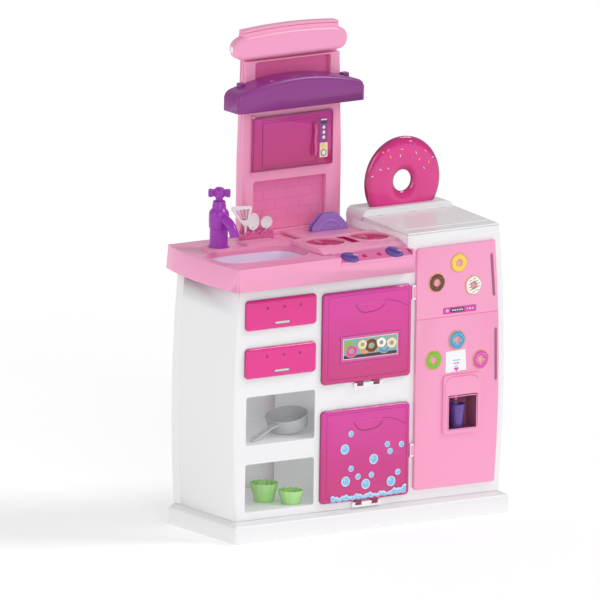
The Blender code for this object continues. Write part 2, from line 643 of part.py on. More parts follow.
def make_fridge_top():
    low = FRIDGE_TOP - 0.0034
    front, back, top = RIDGE
    outline = [(BODY_FRONT, low), (BODY_BACK, low), (back, top - 0.009), (back - 0.003, top - 0.003),
               (back - 0.009, top), (front + 0.009, top), (front + 0.003, top - 0.003), (front, top - 0.009),
               (front - 0.004, 0.6095), (BODY_FRONT, FRIDGE_TOP)]
    shell("fridge_top", outline, "YZ", FRIDGE_X, CENTRE + half_width(0.6) - 0.0004, (2, -1), WHITE)


def make_fridge_door():
    left, low, top = FRIDGE_DOOR
    right = side_line(1, low, top, inset=FRIDGE_DOOR_INSET, steps=6)
    outline = [(left, top - 0.005), (left, low + 0.005), (left + 0.005, low)] + right + [(left + 0.005, top)]
    door = shell("fridge_door", outline, "XZ", DOOR_FRONT, DOOR_BACK, "far", PINK)
    x = FRIDGE_HINGE_X
    for end, (z0, z1) in FRIDGE_TABS.items():
        web = plate("fridge_tab_" + end, [[(x, z0), (left + 0.002, z0), (left + 0.002, z1), (x, z1)]], "XZ",
                    HINGE_Y - 0.0028, HINGE_Y + 0.0028)
        knuckle = rod("fridge_knuckle_" + end, (x, HINGE_Y, z0), (x, HINGE_Y, z1), HINGE_R, sides=16)
        pegs = rod("fridge_pegs_" + end, (x, HINGE_Y, z0 - PEG), (x, HINGE_Y, z1 + PEG), PIN_R, sides=10)
        join(door, web, knuckle, pegs)
    (x0, z0), (x1, z1) = DISPENSER_MOUTH
    cut(door, box("dispenser_hole", (x0 - 0.0055, 0.0, z0 - 0.0055), (x1 + 0.0055, 0.03, z1 + 0.0055)))

    pocket = open_box("dispenser_housing", (x0 - 0.005, DOOR_FRONT - GAP, z0 - 0.005),
                      (x1 + 0.005, DISPENSER_DEPTH, z1 + 0.005), 0.002, WHITE, mouth="-Y")
    (bx0, bz0), (bx1, bz1) = DISPENSER
    bezel = plate("dispenser_bezel_form", [rounded(bx0, bz0, bx1, bz1, 0.008),
                                           rounded(x0 - 0.003, z0 - 0.003, x1 + 0.003, z1 + 0.003, 0.003)],
                  "XZ", DOOR_FRONT - 0.0045, DOOR_FRONT - GAP)
    join(pocket, bezel)
    turned("dispenser_cup", [(0.0177, 0.0500), (0.0118, 0.0), (0.0, 0.0), (0.0, 0.0015), (0.0103, 0.0015),
                             (0.0162, 0.0500), (0.0177, 0.0500)], 20, (0.5607, 0.0290, z0 - 0.0025), PURPLE)


def make_sign():
    x, y, z, radius = SIGN
    chord = RIDGE[2] + GAP
    half = math.asin((z - chord) / radius)
    outline = [(x + radius * math.cos(a), z + radius * math.sin(a))
               for a in (-half + (math.pi + 2 * half) * i / 30 for i in range(31))]
    plate("donut_sign", [outline, circle(x, z + 0.002, 0.022, 20)], "XZ", y - 0.0085, y + 0.0085, MAGENTA)


# ---- cabinet doors and drawers ----

def make_cabinet_doors():
    x0, x1 = DOOR_COLUMN
    for name, (z0, z1) in DOORS.items():
        door = shell(name + "_door", rounded(x0, z0, x1, z1, 0.009), "XZ", DOOR_FRONT, DOOR_BACK, "far",
                     MAGENTA)
        axis_z = z0 - 0.006
        for index, tab in enumerate(DOOR_TABS):
            ends = (tab - TAB_WIDTH / 2, tab + TAB_WIDTH / 2)
            web = box("%s_tab_%d" % (name, index), (ends[0], HINGE_Y - 0.0028, axis_z),
                      (ends[1], HINGE_Y + 0.0028, z0 + 0.002))
            knuckle = rod("%s_knuckle_%d" % (name, index), (ends[0], HINGE_Y, axis_z),
                          (ends[1], HINGE_Y, axis_z), HINGE_R, sides=16)
            join(door, web, knuckle)
        cut(door, rod(name + "_bore", (PIN_ENDS[0], HINGE_Y, axis_z), (PIN_ENDS[1], HINGE_Y, axis_z), BORE_R,
                      sides=10))
        pivot(door, (0.0, HINGE_Y, axis_z))


def make_drawers():
    x0, x1 = DRAWER_COLUMN
    for name, z in DRAWERS.items():
        front = shell(name + "_drawer_front", rounded(x0, z, x1, z + DRAWER_HEIGHT, 0.007), "XZ", DOOR_FRONT,
                      DOOR_BACK, "far", MAGENTA)
        grip = box(name + "_grip_hole", (0.098, 0.0, z + 0.009), (0.133, 0.03, z + 0.015))
        cut(front, grip)
        open_box(name + "_drawer_tray", (0.0372, BODY_FRONT, z + 0.0056),
                 (0.1933, 0.2050, z + DRAWER_HEIGHT - 0.0065), 0.002, WHITE)


# ---- tower ----

def tower_outline(inset=0.0, top=None):
    left, right, high = TOWER
    high = top or high
    low = COUNTER_TOP + GAP
    return [(left + inset, low), (right - inset, low), (right - inset, 0.74),
            (right - inset - TOWER_TAPER, high), (left + inset + TOWER_TAPER, high), (left + inset, 0.74)]


def make_tower():
    x0, z0, x1, z1 = MICROWAVE
    holes = [rounded(0.2054, 0.585, 0.3845, 0.690, 0.004, 2),
             rounded(x0 + 0.0075, z0 + 0.007, x1 - 0.007, z1 - 0.007, 0.006),
             rounded(0.2064, 0.838, 0.3918, 0.939, 0.006)]
    panel = plate("tower_panel", [tower_outline()] + holes, "XZ", TOWER_FRONT, TOWER_SPLIT, PINK)
    hinge_y = (MICROWAVE_Y[0] + MICROWAVE_Y[1]) / 2
    hinge_x = x0 + 0.0029
    for end, low, high in (("lower", z0 - 0.0045, z0 - GAP), ("upper", z1 + GAP, z1 + 0.0045)):
        join(panel, box("microwave_lug_" + end, (hinge_x - 0.0029, MICROWAVE_Y[0], low),
                        (hinge_x + 0.0029, TOWER_FRONT + 0.001, high)))
    cut(panel, rod("microwave_lug_bore", (hinge_x, hinge_y, z0 - 0.01), (hinge_x, hinge_y, z1 + 0.01), BORE_R,
                   sides=10))
    shell("tower_back", tower_outline(0.0, 0.975), "XZ", TOWER_SPLIT + GAP, COUNTER_BACK, "far", PINK)

    door = plate("microwave_door", [rounded(hinge_x, z0, x1, z1, 0.0005, 1)], "XZ", *MICROWAVE_Y, MAGENTA)
    knuckle = rod("microwave_knuckle", (hinge_x, hinge_y, z0), (hinge_x, hinge_y, z1),
                  (MICROWAVE_Y[1] - MICROWAVE_Y[0]) / 2, sides=16)
    handle = box("microwave_handle_form", (0.3450, MICROWAVE_Y[0] - 0.008, 0.735),
                 (0.3510, MICROWAVE_Y[0] + 0.001, 0.799))
    pegs = rod("microwave_pegs", (hinge_x, hinge_y, z0 - PEG), (hinge_x, hinge_y, z1 + PEG), PIN_R, sides=10)
    join(door, knuckle, handle, pegs)
    pivot(door, (hinge_x, hinge_y, z0))
    turned("microwave_turntable", [(0.0, 0.005), (0.012, 0.004), (0.012, 0.0), (0.0, 0.0)], 20,
           (0.295, TOWER_SPLIT - GAP, 0.763), DARK, turn=(math.radians(90), 0.0, 0.0))


def make_hood():
    left, right, low, front = HOOD
    middle = (left + right) / 2
    half = (right - left) / 2
    corner = 0.0170

    def arch(x):
        return 0.911 - 0.0190 * ((x - middle) / (half - corner)) ** 2
    top = [(right - corner - (right - left - 2 * corner) * i / 14,
            arch(right - corner - (right - left - 2 * corner) * i / 14)) for i in range(15)]
    outline = ([(left, low), (right, low), (right, 0.877), (right - 0.005, 0.8885)] + top
               + [(left + 0.005, 0.8885), (left, 0.877)])
    shell("hood", outline, "XZ", front, TOWER_FRONT - GAP, (2, -1), PURPLE)


def make_crown():
    left, right, low = CROWN
    middle, half, radius = (left + right) / 2, (right - left) / 2, 0.0230

    def rise(x):
        return 0.008 * (1 - ((x - middle) / half) ** 2)
    def round_end(x, angles):
        return [(x + radius * math.cos(math.radians(a)), low + radius + radius * math.sin(math.radians(a)))
                for a in angles]
    turn_left = round_end(left + radius, (110, 145, 180, 215, 250))
    turn_right = round_end(right - radius, (-70, -35, 0, 35, 70))
    spans = [right - radius - (right - left - 2 * radius) * i / 10 for i in range(11)]
    top = [(x, low + 2 * radius + rise(x)) for x in spans]
    outline = turn_left + [(left + radius, low), (right - radius, low)] + turn_right + top
    crown = plate("crown", [outline], "XZ", 0.2380, 0.2700, PINK)
    rail_low = [(x, low + 2 * radius + rise(x) - 0.0020) for x in spans]
    rail = [(0.4167, 0.9985)] + rail_low[1:-1] + [(0.1480, 0.9985), (0.1480, 1.0060)]
    rail += [(x, low + 2 * radius + rise(x) + 0.0130) for x in spans[::-1]] + [(0.4167, 1.0060)]
    join(crown, plate("crown_rail_form", [rail], "XZ", 0.2430, 0.2640))


# ---- loose cookware and hidden works ----

def make_cookware():
    """The pan lies tipped onto its straight handle; the cups stand on the lowest floor."""
    heading = Vector((-math.cos(PAN_HEADING), -math.sin(PAN_HEADING), 0.0))
    tip = Matrix.Rotation(PAN_TIP, 3, Vector((-heading.y, heading.x, 0.0)))
    edge = Vector((*PAN, SHELVES["upper"][0] + GAP)) + heading * PAN_FOOT
    centre = edge - tip @ (heading * PAN_FOOT)
    pan = turned("frying_pan", [(0.0450, 0.0300), (PAN_FOOT, 0.0), (0.0, 0.0), (0.0, 0.0020), (0.0383, 0.0020),
                                (0.0432, 0.0300), (0.0450, 0.0300)], 28, centre, GREY, turn=tip.to_euler())
    bm = box_bm((-0.1320, -0.0075, 0.0225), (-0.0430, 0.0075, 0.0265))
    turn = tip @ Matrix.Rotation(PAN_HEADING, 3, "Z")
    bmesh.ops.rotate(bm, cent=(0, 0, 0), matrix=turn, verts=bm.verts)
    bmesh.ops.translate(bm, vec=centre, verts=bm.verts)
    join(pan, shop.add("pan_handle_form", to_mesh(bm, "pan_handle_form")))
    for name, (rim, foot, height, x, y) in CUPS.items():
        turned(name, [(rim, height), (foot, 0.0), (0.0, 0.0), (0.0, 0.0015), (foot - 0.0015, 0.0015),
                      (rim - 0.0015, height), (rim, height)], 20, (x, y, FLOOR_Z + GAP), GREEN)


def make_works():
    """The pump tank under the sink and the sound unit under the hob."""
    open_box("water_tank", (0.0300, 0.1000, 0.5290), (0.1400, 0.2050, 0.5470), 0.002, WHITE)
    box("sound_unit", (0.2500, 0.0400, 0.5350), (0.4000, 0.1300, 0.5600), GREY, round_edges=0.002)


def main():
    global shop
    clear_scene()
    shop = Workshop()
    for step in (make_base, make_side_panels, make_back_panel, make_front_frames, make_inner_panels, make_racks,
                 make_countertop, make_sink, make_faucet, make_hob, make_controls, make_plate_rack, make_utensils,
                 make_fridge_top, make_fridge_door, make_sign, make_cabinet_doors, make_drawers, make_tower,
                 make_hood, make_crown, make_cookware, make_works):
        step()


main()
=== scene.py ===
"""Looks of a toy kitchen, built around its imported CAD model.

Run in Blender 4.5 as a script. Every new piece is drawn from the front left bottom corner of the base,
X to the right, Y to the back and Z up, and piece() moves it to the model's own origin.
"""

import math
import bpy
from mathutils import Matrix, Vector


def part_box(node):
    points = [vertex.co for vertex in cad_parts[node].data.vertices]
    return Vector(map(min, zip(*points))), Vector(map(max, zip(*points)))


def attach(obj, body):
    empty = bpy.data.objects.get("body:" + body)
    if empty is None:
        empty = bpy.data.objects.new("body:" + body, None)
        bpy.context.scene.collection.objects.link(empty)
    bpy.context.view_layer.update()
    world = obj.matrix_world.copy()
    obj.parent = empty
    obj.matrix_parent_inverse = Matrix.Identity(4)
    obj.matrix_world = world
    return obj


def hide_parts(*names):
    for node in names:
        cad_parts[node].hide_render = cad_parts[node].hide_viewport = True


bl_info = {
    "name": "Toy kitchen looks",
    "version": (1, 0, 0),
    "blender": (4, 5, 0),
    "location": "3D View > Sidebar > Kitchen",
    "description": "Finished meshes and materials of a toy kitchen with sink, hob, oven and fridge",
    "category": "Object",
}

import bmesh
import bpy
from bpy.props import FloatProperty, FloatVectorProperty, IntProperty, PointerProperty
from mathutils import Matrix, Vector

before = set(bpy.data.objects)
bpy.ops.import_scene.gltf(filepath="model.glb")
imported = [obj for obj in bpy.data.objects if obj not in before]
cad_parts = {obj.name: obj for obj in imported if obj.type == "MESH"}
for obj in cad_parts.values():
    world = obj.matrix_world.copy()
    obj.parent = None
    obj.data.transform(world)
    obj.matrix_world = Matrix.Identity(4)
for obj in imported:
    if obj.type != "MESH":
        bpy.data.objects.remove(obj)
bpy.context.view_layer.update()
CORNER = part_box("base_plinth")[0]
ROOT = "cabinet"
PIN = 0.0015                      # bore radius of the door hinges
TAP_RADIUS = 0.022                # foot of the tap
BASIN_POWER = 3.4                 # how square the sink's outline is
PAN_TURN, PAN_TIP = 22.3, 13.2    # heading of the pan's handle and its tip, in degrees
TAP_TURN = -34                    # heading of the tap handle's arms, in degrees
VIEW_ANGLES = (34.2, 11.7, 0.9)   # camera: round to the left, above, roll
VIEW_WIDTH = 1.22449              # metres across the picture


# ---- sizes and colours a user may change ----

def size_setting(name, description, default, unit="LENGTH"):
    return FloatProperty(name=name, description=description, default=default, precision=5, unit=unit)


def colour_setting(name, description, default):
    return FloatVectorProperty(name=name, description=description, default=default, size=3, min=0.0, max=1.0,
                               subtype="COLOR")


class KitchenSizes(bpy.types.PropertyGroup):
    casing_edge: size_setting("Casing edge", "Radius of the white casing's edges", 0.0022)
    base_edge: size_setting("Base edge", "Radius of the base's edges", 0.0035)
    counter_edge: size_setting("Worktop edge", "Radius of the worktop's edges", 0.003)
    panel_edge: size_setting("Tower edge", "Radius of the tower's edges", 0.0024)
    crown_roll: size_setting("Crown roll", "Radius of the crown's rounded front", 0.0105)
    sprinkle_length: size_setting("Sprinkle length", "Length of a sprinkle on the sign", 0.0062)
    sprinkle_radius: size_setting("Sprinkle radius", "Radius of a sprinkle on the sign", 0.00085)
    round_steps: IntProperty(name="Round steps", description="Steps in a full turn of a turned piece",
                             default=64)


class KitchenColours(bpy.types.PropertyGroup):
    white: colour_setting("White", "Casing and base", (0.89, 0.89, 0.9))
    pink: colour_setting("Pink", "Worktop, tower and fridge door", (0.9, 0.265, 0.5))
    deep_pink: colour_setting("Deep pink", "Tower recesses and tiles", (0.8, 0.16, 0.42))
    magenta: colour_setting("Magenta", "Drawer fronts", (0.776, 0.018, 0.265))
    ruby: colour_setting("Ruby", "Clear doors, lower part", (0.62, 0.03, 0.2))
    ruby_top: colour_setting("Ruby top", "Clear doors, upper part", (0.78, 0.04, 0.4))
    hood: colour_setting("Hood", "Hood over the microwave", (0.27, 0.03, 0.25))
    purple: colour_setting("Purple", "Plates", (0.24, 0.065, 0.4))
    knob_purple: colour_setting("Knob purple", "Knobs and the cup in the fridge door", (0.13, 0.06, 0.33))
    violet: colour_setting("Violet", "Tap", (0.105, 0.004, 0.125))
    green: colour_setting("Green", "Cups, lower part", (0.15, 0.62, 0.05))
    grey: colour_setting("Grey", "Frying pan and racks", (0.5, 0.505, 0.5))
    lilac: colour_setting("Lilac", "Sink", (0.7, 0.56, 0.74))
    steel: colour_setting("Steel", "Hinge pins", (0.62, 0.62, 0.64))


def sizes():
    return bpy.context.scene.kitchen_sizes


def colours():
    return bpy.context.scene.kitchen_colours


# ---- shader expressions ----

class Signal:
    """A shader socket that can be used in Python expressions."""

    def __init__(self, tree, socket):
        self.tree, self.socket = tree, socket

    def maths(self, operation, *terms):
        node = self.tree.nodes.new("ShaderNodeMath")
        node.operation = operation
        for place, term in zip(node.inputs, terms):
            if isinstance(term, Signal):
                self.tree.links.new(term.socket, place)
            else:
                place.default_value = term
        return Signal(self.tree, node.outputs[0])

    def __add__(self, other):
        return self.maths("ADD", self, other)

    def __sub__(self, other):
        return self.maths("SUBTRACT", self, other)

    def __rsub__(self, other):
        return self.maths("SUBTRACT", other, self)

    def __mul__(self, other):
        return self.maths("MULTIPLY", self, other)

    def __truediv__(self, other):
        return self.maths("DIVIDE", self, other)

    def __pow__(self, other):
        return self.maths("POWER", self, other)

    def __gt__(self, other):
        return self.maths("GREATER_THAN", self, other)

    __radd__ = __add__
    __rmul__ = __mul__


class Finish:
    """A material under construction: a Principled shader and the nodes that feed it."""

    def __init__(self, name, **constants):
        self.material = bpy.data.materials.new(name)
        self.material.use_nodes = True
        self.tree = self.material.node_tree
        self.shader = self.tree.nodes["Principled BSDF"]
        self.set(**constants)

    def set(self, **values):
        for name, value in values.items():
            self.feed(self.shader.inputs[name.replace("_", " ")], value)

    def feed(self, place, value):
        if isinstance(value, Signal):
            self.tree.links.new(value.socket, place)
        elif place.type == "RGBA" and len(value) == 3:
            place.default_value = (*value, 1.0)
        else:
            place.default_value = value

    def node(self, kind, settings=None, output=0, **values):
        """Any node by its type, its settings and its sockets' values or links."""
        made = self.tree.nodes.new("ShaderNode" + kind)
        for name, value in (settings or {}).items():
            setattr(made, name, value)
        for name, value in values.items():
            self.feed(made.inputs[name.replace("_", " ")], value)
        return Signal(self.tree, made.outputs[output])

    def place(self):
        return self.node("TexCoord", output="Object")

    def noise(self, scale, detail=2.0, place=None):
        return self.node("TexNoise", Vector=place or self.place(), Scale=scale, Detail=detail)

    def blend(self, share, first, second):
        made = self.tree.nodes.new("ShaderNodeMix")
        made.data_type = "RGBA"
        colour_inputs = [s for s in made.inputs if s.type == "RGBA"]
        self.feed(made.inputs["Factor"], share)
        self.feed(colour_inputs[0], first)
        self.feed(colour_inputs[1], second)
        return Signal(self.tree, [s for s in made.outputs if s.type == "RGBA"][0])

    def relief(self, height, strength, distance):
        self.set(Normal=self.node("Bump", Height=height, Strength=strength, Distance=distance))


def shade(colour, factor):
    return tuple(min(1.0, channel * factor) for channel in colour)


def height_share(made, low, high):
    """0 at the lower height and 1 at the upper one, in base coordinates."""
    place = made.node("SeparateXYZ", output="Z", Vector=made.place())
    return made.node("MapRange", {"clamp": True}, Value=place, From_Min=low + CORNER.z,
                     From_Max=high + CORNER.z)


def moulded(name, colour, roughness=0.34, coat=0.12, tone=0.035, painted_glow=0.0):
    """Solid moulded plastic: cloudy flow in its colour, fine sparkle from the mould and a satin surface, with
    an optional painted glow: emission that stands in for light scattered through the plastic.
    """
    made = Finish(name, Coat_Weight=coat, Coat_Roughness=0.18, Specular_IOR_Level=0.45, Emission_Color=colour,
                  Emission_Strength=painted_glow)
    flow = made.noise(7.0, 3.0)
    grain = made.noise(1300.0, 1.0)
    patches = made.noise(38.0, 2.0)
    made.set(Base_Color=made.blend(flow, shade(colour, 1.0 - tone), shade(colour, 1.0 + tone)),
             Roughness=patches * 0.1 + (grain * 0.05 + (roughness - 0.075)))
    made.relief(grain * 0.7 + made.noise(55.0, 1.0) * 0.5, 0.16, 0.0002)
    return made.material


def graded(name, lower, upper, heights):
    """Moulded plastic whose colour deepens with height."""
    made = Finish(name, Coat_Weight=0.15, Coat_Roughness=0.2, Specular_IOR_Level=0.45)
    share = height_share(made, *heights) + (made.noise(9.0, 2.0) - 0.5) * 0.2
    made.set(Base_Color=made.blend(share, lower, upper), Roughness=made.noise(40.0, 2.0) * 0.1 + 0.28)
    made.relief(made.noise(1300.0, 1.0), 0.12, 0.0002)
    return made.material


def ringed(name, middle, edge, radius, reach):
    """Glossy plastic round the sign's centre, darker towards its inner and outer edge: painted shade on the
    ring's rolled edges.
    """
    made = Finish(name, Coat_Weight=0.8, Coat_Roughness=0.04, Specular_IOR_Level=0.5)
    low, high = box_of("donut_sign")
    across = made.node("SeparateXYZ", output="X", Vector=made.place()) - ((low.x + high.x) / 2 + CORNER.x)
    up = made.node("SeparateXYZ", output="Z",
                   Vector=made.place()) - (high.z - (high.x - low.x) / 2 + CORNER.z)
    away = (across * across + up * up) ** 0.5 - radius
    share = away * away * (1 / reach ** 2)
    share = made.node("MapRange", {"clamp": True}, Value=share, From_Min=0.35, From_Max=1.1, To_Min=0.0,
                      To_Max=1.0)
    made.set(Base_Color=made.blend(share, middle, edge), Roughness=made.noise(30.0, 2.0) * 0.06 + 0.14)
    made.relief(made.noise(45.0, 1.0), 0.08, 0.0004)
    return made.material


def clear_plastic(name, lower, upper, heights, alpha=0.86, roughness=0.12):
    """Tinted see-through plastic, deeper in colour towards the top, with a hard gloss."""
    made = Finish(name, Coat_Weight=0.55, Coat_Roughness=0.05, Specular_IOR_Level=0.5, Alpha=alpha)
    rise = height_share(made, *heights)
    flow = made.noise(16.0, 2.0)
    tint = made.blend(rise, lower, upper)
    made.set(Base_Color=made.blend(flow * 0.3, tint, made.blend(rise, shade(lower, 1.45),
                                                                shade(upper, 1.45))),
             Roughness=made.noise(60.0, 2.0) * 0.08 + (roughness - 0.04))
    made.relief(made.noise(26.0, 1.0), 0.1, 0.0006)
    return made.material


def brushed_steel(name, colour):
    made = Finish(name, Metallic=1.0)
    stretch = made.node("Mapping", Vector=made.place(), Scale=(40.0, 900.0, 900.0))
    lines = made.noise(3.0, 3.0, stretch)
    made.set(Base_Color=made.blend(lines, shade(colour, 0.85), shade(colour, 1.1)),
             Roughness=lines * 0.18 + 0.2)
    made.relief(lines, 0.1, 0.0001)
    return made.material


def rippled(name, colour):
    """Pale basin floor with a net of light ripples, as on shallow water."""
    made = Finish(name, Coat_Weight=0.6, Coat_Roughness=0.06)
    swirl = made.noise(24.0, 2.0)
    bent = made.node("VectorMath", {"operation": "MULTIPLY_ADD"})
    mixer = bent.socket.node
    made.feed(mixer.inputs[0], made.node("CombineXYZ", X=swirl, Y=swirl * 0.7, Z=0.0))
    made.feed(mixer.inputs[1], (0.02, 0.02, 0.0))
    made.feed(mixer.inputs[2], made.place())
    net = made.node("TexVoronoi", {"feature": "DISTANCE_TO_EDGE"}, Vector=bent, Scale=62.0)
    lines = made.node("MapRange", {"clamp": True}, Value=net, From_Min=0.0, From_Max=0.16, To_Min=1.0,
                      To_Max=0.0)
    made.set(Base_Color=made.blend(lines * 0.85, colour, (0.93, 0.9, 0.96)), Roughness=0.12 + swirl * 0.06)
    made.relief(lines, 0.25, 0.0008)
    return made.material


def printed(name, colour, second=None, scale=240.0):
    """Glossy printed film with a slight halftone variation."""
    made = Finish(name, Coat_Weight=0.35, Coat_Roughness=0.08)
    dots = made.noise(scale, 2.0)
    made.set(Base_Color=made.blend(dots, colour, second or shade(colour, 1.12)), Roughness=dots * 0.08 + 0.22)
    made.relief(made.noise(900.0, 1.0), 0.05, 0.0001)
    return made.material


def finish(name):
    """The named material, made the first time it is asked for."""
    if name in bpy.data.materials:
        return bpy.data.materials[name]
    c = colours()
    oven, washer, wave = [[corner.z for corner in box_of(node)]
                          for node in ("oven_door", "dishwasher_door", "microwave_door")]
    recipes = {
        "white_shell": lambda: moulded(name, c.white, 0.36, 0.08, 0.012),
        # Inner white walls: a painted glow, a weak emission standing in for light scattered through the white
        # plastic
        "white_inside": lambda: moulded(name, shade(c.white, 0.97), 0.4, 0.05, 0.012, painted_glow=0.1),
        "pink_shell": lambda: moulded(name, c.pink, 0.34),
        # A darker pink painted as the shade inside the finger pulls and deep in the dispenser pocket
        "painted_shade_pink": lambda: moulded(name, shade(c.pink, 0.42), 0.34),
        "deep_pink": lambda: moulded(name, c.deep_pink, 0.38),
        "magenta_plastic": lambda: moulded(name, c.magenta, 0.2, 0.5, 0.08),
        # Darker magenta painted as shade: the drawers' rolled sides, the dimple dots and the slot round the
        # pulls
        "maroon_plastic": lambda: moulded(name, shade(c.ruby, 0.55), 0.24, 0.4, 0.08),
        "burner_red": lambda: moulded(name, (0.56, 0.006, 0.13), 0.3, 0.25, 0.1),
        "oven_clear": lambda: clear_plastic(name, c.ruby, c.ruby_top, oven, 0.86),
        "washer_clear": lambda: clear_plastic(name, c.ruby, c.ruby_top, washer, 0.78),
        "wave_clear": lambda: clear_plastic(name, c.ruby, c.ruby_top, wave, 0.74),
        # Sign ring: the darker inner and outer edge is painted shade
        "sign_gloss": lambda: ringed(name, (0.76, 0.01, 0.25), (0.4, 0.001, 0.12), 0.056, 0.034),
        # Darker clear magenta painted as shade: door edges, hinge tabs, grip recesses, moulded lines and the
        # microwave's rim
        "magenta_dark": lambda: clear_plastic(name, shade(c.ruby, 0.42), shade(c.ruby_top, 0.42), oven, 0.92),
        # Lighter clear magenta: a print colour on the cake film's border, and a painted highlight on the door
        # grips' lip
        "magenta_light": lambda: clear_plastic(name, (0.8, 0.1, 0.34), (0.74, 0.12, 0.38), oven, 0.85),
        "rack_clear": lambda: clear_plastic(name, (0.8, 0.07, 0.32), (0.88, 0.2, 0.48), (0.54, 0.6), 0.72),
        "basket_pink": lambda: clear_plastic(name, (0.95, 0.62, 0.75), (0.95, 0.62, 0.75), washer, 0.95),
        "purple_plastic": lambda: moulded(name, c.purple, 0.3, 0.25, 0.07),
        "hood_purple": lambda: moulded(name, c.hood, 0.3, 0.25, 0.07),
        "lilac_glint": lambda: moulded(name, (0.5, 0.24, 0.56), 0.26, 0.3, 0.05),
        "tile_pink": lambda: graded(name, shade(c.pink, 1.03), shade(c.deep_pink, 1.0), (0.595, 0.69)),
        "tile_joint": lambda: graded(name, shade(c.pink, 0.9), shade(c.deep_pink, 0.86), (0.595, 0.69)),
        # Pink deepening towards the top of the upper recess: painted shade under the crown
        "recess_pink": lambda: graded(name, c.pink, (0.8, 0.1, 0.36), (0.85, 0.935)),
        "knob_purple": lambda: moulded(name, c.knob_purple, 0.24, 0.4, 0.07),
        "violet_clear": lambda: clear_plastic(name, shade(c.violet, 0.62), c.violet, (0.58, 0.71), 0.97,
                                              0.06),
        "green_clear": lambda: clear_plastic(name, c.green, (0.5, 0.86, 0.12), (0.062, 0.098), 0.8),
        "grey_plastic": lambda: moulded(name, c.grey, 0.36, 0.15, 0.05),
        "lilac_plastic": lambda: rippled(name, c.lilac),
        "white_tools": lambda: moulded(name, (0.86, 0.85, 0.87), 0.26, 0.3, 0.02),
        "steel": lambda: brushed_steel(name, c.steel),
        "silver_paint": lambda: moulded(name, (0.62, 0.61, 0.62), 0.22, 0.5, 0.05),
        "shadow_slot": lambda: moulded(name, (0.2, 0.2, 0.21), 0.55, 0.0, 0.05),
        "print_white": lambda: printed(name, (0.86, 0.87, 0.88)),
        "print_dark": lambda: printed(name, (0.045, 0.018, 0.05)),
        "print_violet": lambda: printed(name, (0.3, 0.035, 0.26)),
        "print_sky": lambda: printed(name, (0.3, 0.62, 0.85), (0.75, 0.9, 0.97), 120.0),
        "print_blue": lambda: printed(name, (0.12, 0.44, 0.76), (0.33, 0.66, 0.9), 150.0),
        "print_teal": lambda: printed(name, (0.18, 0.43, 0.4)),
        "print_cream": lambda: printed(name, (0.83, 0.7, 0.45), (0.9, 0.8, 0.6)),
        "dough": lambda: printed(name, (0.62, 0.3, 0.085), (0.75, 0.43, 0.16)),
        "icing_yellow": lambda: printed(name, (0.9, 0.61, 0.06)),
        "icing_brown": lambda: printed(name, (0.09, 0.022, 0.01), (0.17, 0.05, 0.02)),
        "icing_white": lambda: printed(name, (0.9, 0.88, 0.84)),
        "icing_blue": lambda: printed(name, (0.05, 0.32, 0.58)),
        "icing_green": lambda: printed(name, (0.18, 0.5, 0.04)),
        "icing_pink": lambda: printed(name, (0.72, 0.05, 0.4)),
    }
    recipes[name]()
    return bpy.data.materials[name]


# ---- modelling helpers ----

def move(bm, vec):
    bmesh.ops.translate(bm, vec=vec, verts=bm.verts)


def rotate(bm, degrees, axis, centre=(0, 0, 0)):
    bmesh.ops.rotate(bm, cent=centre, matrix=Matrix.Rotation(math.radians(degrees), 3, axis), verts=bm.verts)


def box_of(node):
    """Lowest and highest corner of a CAD node, in base coordinates."""
    low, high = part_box(node)
    return low - CORNER, high - CORNER


def copy_of(*nodes):
    """Merged copy of CAD nodes, in base coordinates, with its flat faces joined up."""
    bm = bmesh.new()
    for node in nodes:
        bm.from_mesh(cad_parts[node].data)
    move(bm, -CORNER)
    bmesh.ops.remove_doubles(bm, verts=bm.verts, dist=1e-5)
    bmesh.ops.dissolve_limit(bm, angle_limit=math.radians(0.4), verts=bm.verts, edges=bm.edges)
    return bm


def join(*parts):
    """One mesh from several."""
    whole = parts[0]
    for part in parts[1:]:
        mesh = bpy.data.meshes.new("joined")
        part.to_mesh(mesh)
        part.free()
        whole.from_mesh(mesh)
        bpy.data.meshes.remove(mesh)
    return whole


def face_angle(edge):
    return edge.calc_face_angle(0.0) if len(edge.link_faces) == 2 else 0.0


def weigh_rims(bm, test):
    """Marks the convex sharp edges that pass the test, so that only those are rounded."""
    weight = bm.edges.layers.float.new("bevel_weight_edge")
    for edge in bm.edges:
        if face_angle(edge) > math.radians(28) and edge.is_convex and all(test(v.co) for v in edge.verts):
            edge[weight] = 1.0
    return bm


def piece(name, bm, materials, body=ROOT, stands_for=(), rounding=0.0, segments=3, weighted=False,
          sharp=34.0):
    """Makes the object: smooth shading, rounded edges, material, body and the nodes it stands for."""
    move(bm, CORNER)
    layer = bm.edges.layers.float.get("bevel_weight_edge")
    for edge in bm.edges:
        kept = rounding and (not weighted or edge[layer] > 0)
        edge.smooth = bool(kept) or face_angle(edge) < math.radians(sharp)
    for face in bm.faces:
        face.smooth = True
    mesh = bpy.data.meshes.new(name)
    bm.to_mesh(mesh)
    bm.free()
    for material in ([materials] if isinstance(materials, str) else materials):
        mesh.materials.append(finish(material))
    made = bpy.data.objects.new(name, mesh)
    bpy.context.scene.collection.objects.link(made)
    if rounding:
        soft = made.modifiers.new("rounding", "BEVEL")
        soft.width = rounding
        soft.segments = segments
        soft.limit_method = "WEIGHT" if weighted else "ANGLE"
        soft.angle_limit = math.radians(30)
        soft.harden_normals = True
        soft.miter_outer = "MITER_ARC"
    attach(made, body)
    if stands_for:
        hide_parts(*stands_for)
    return made


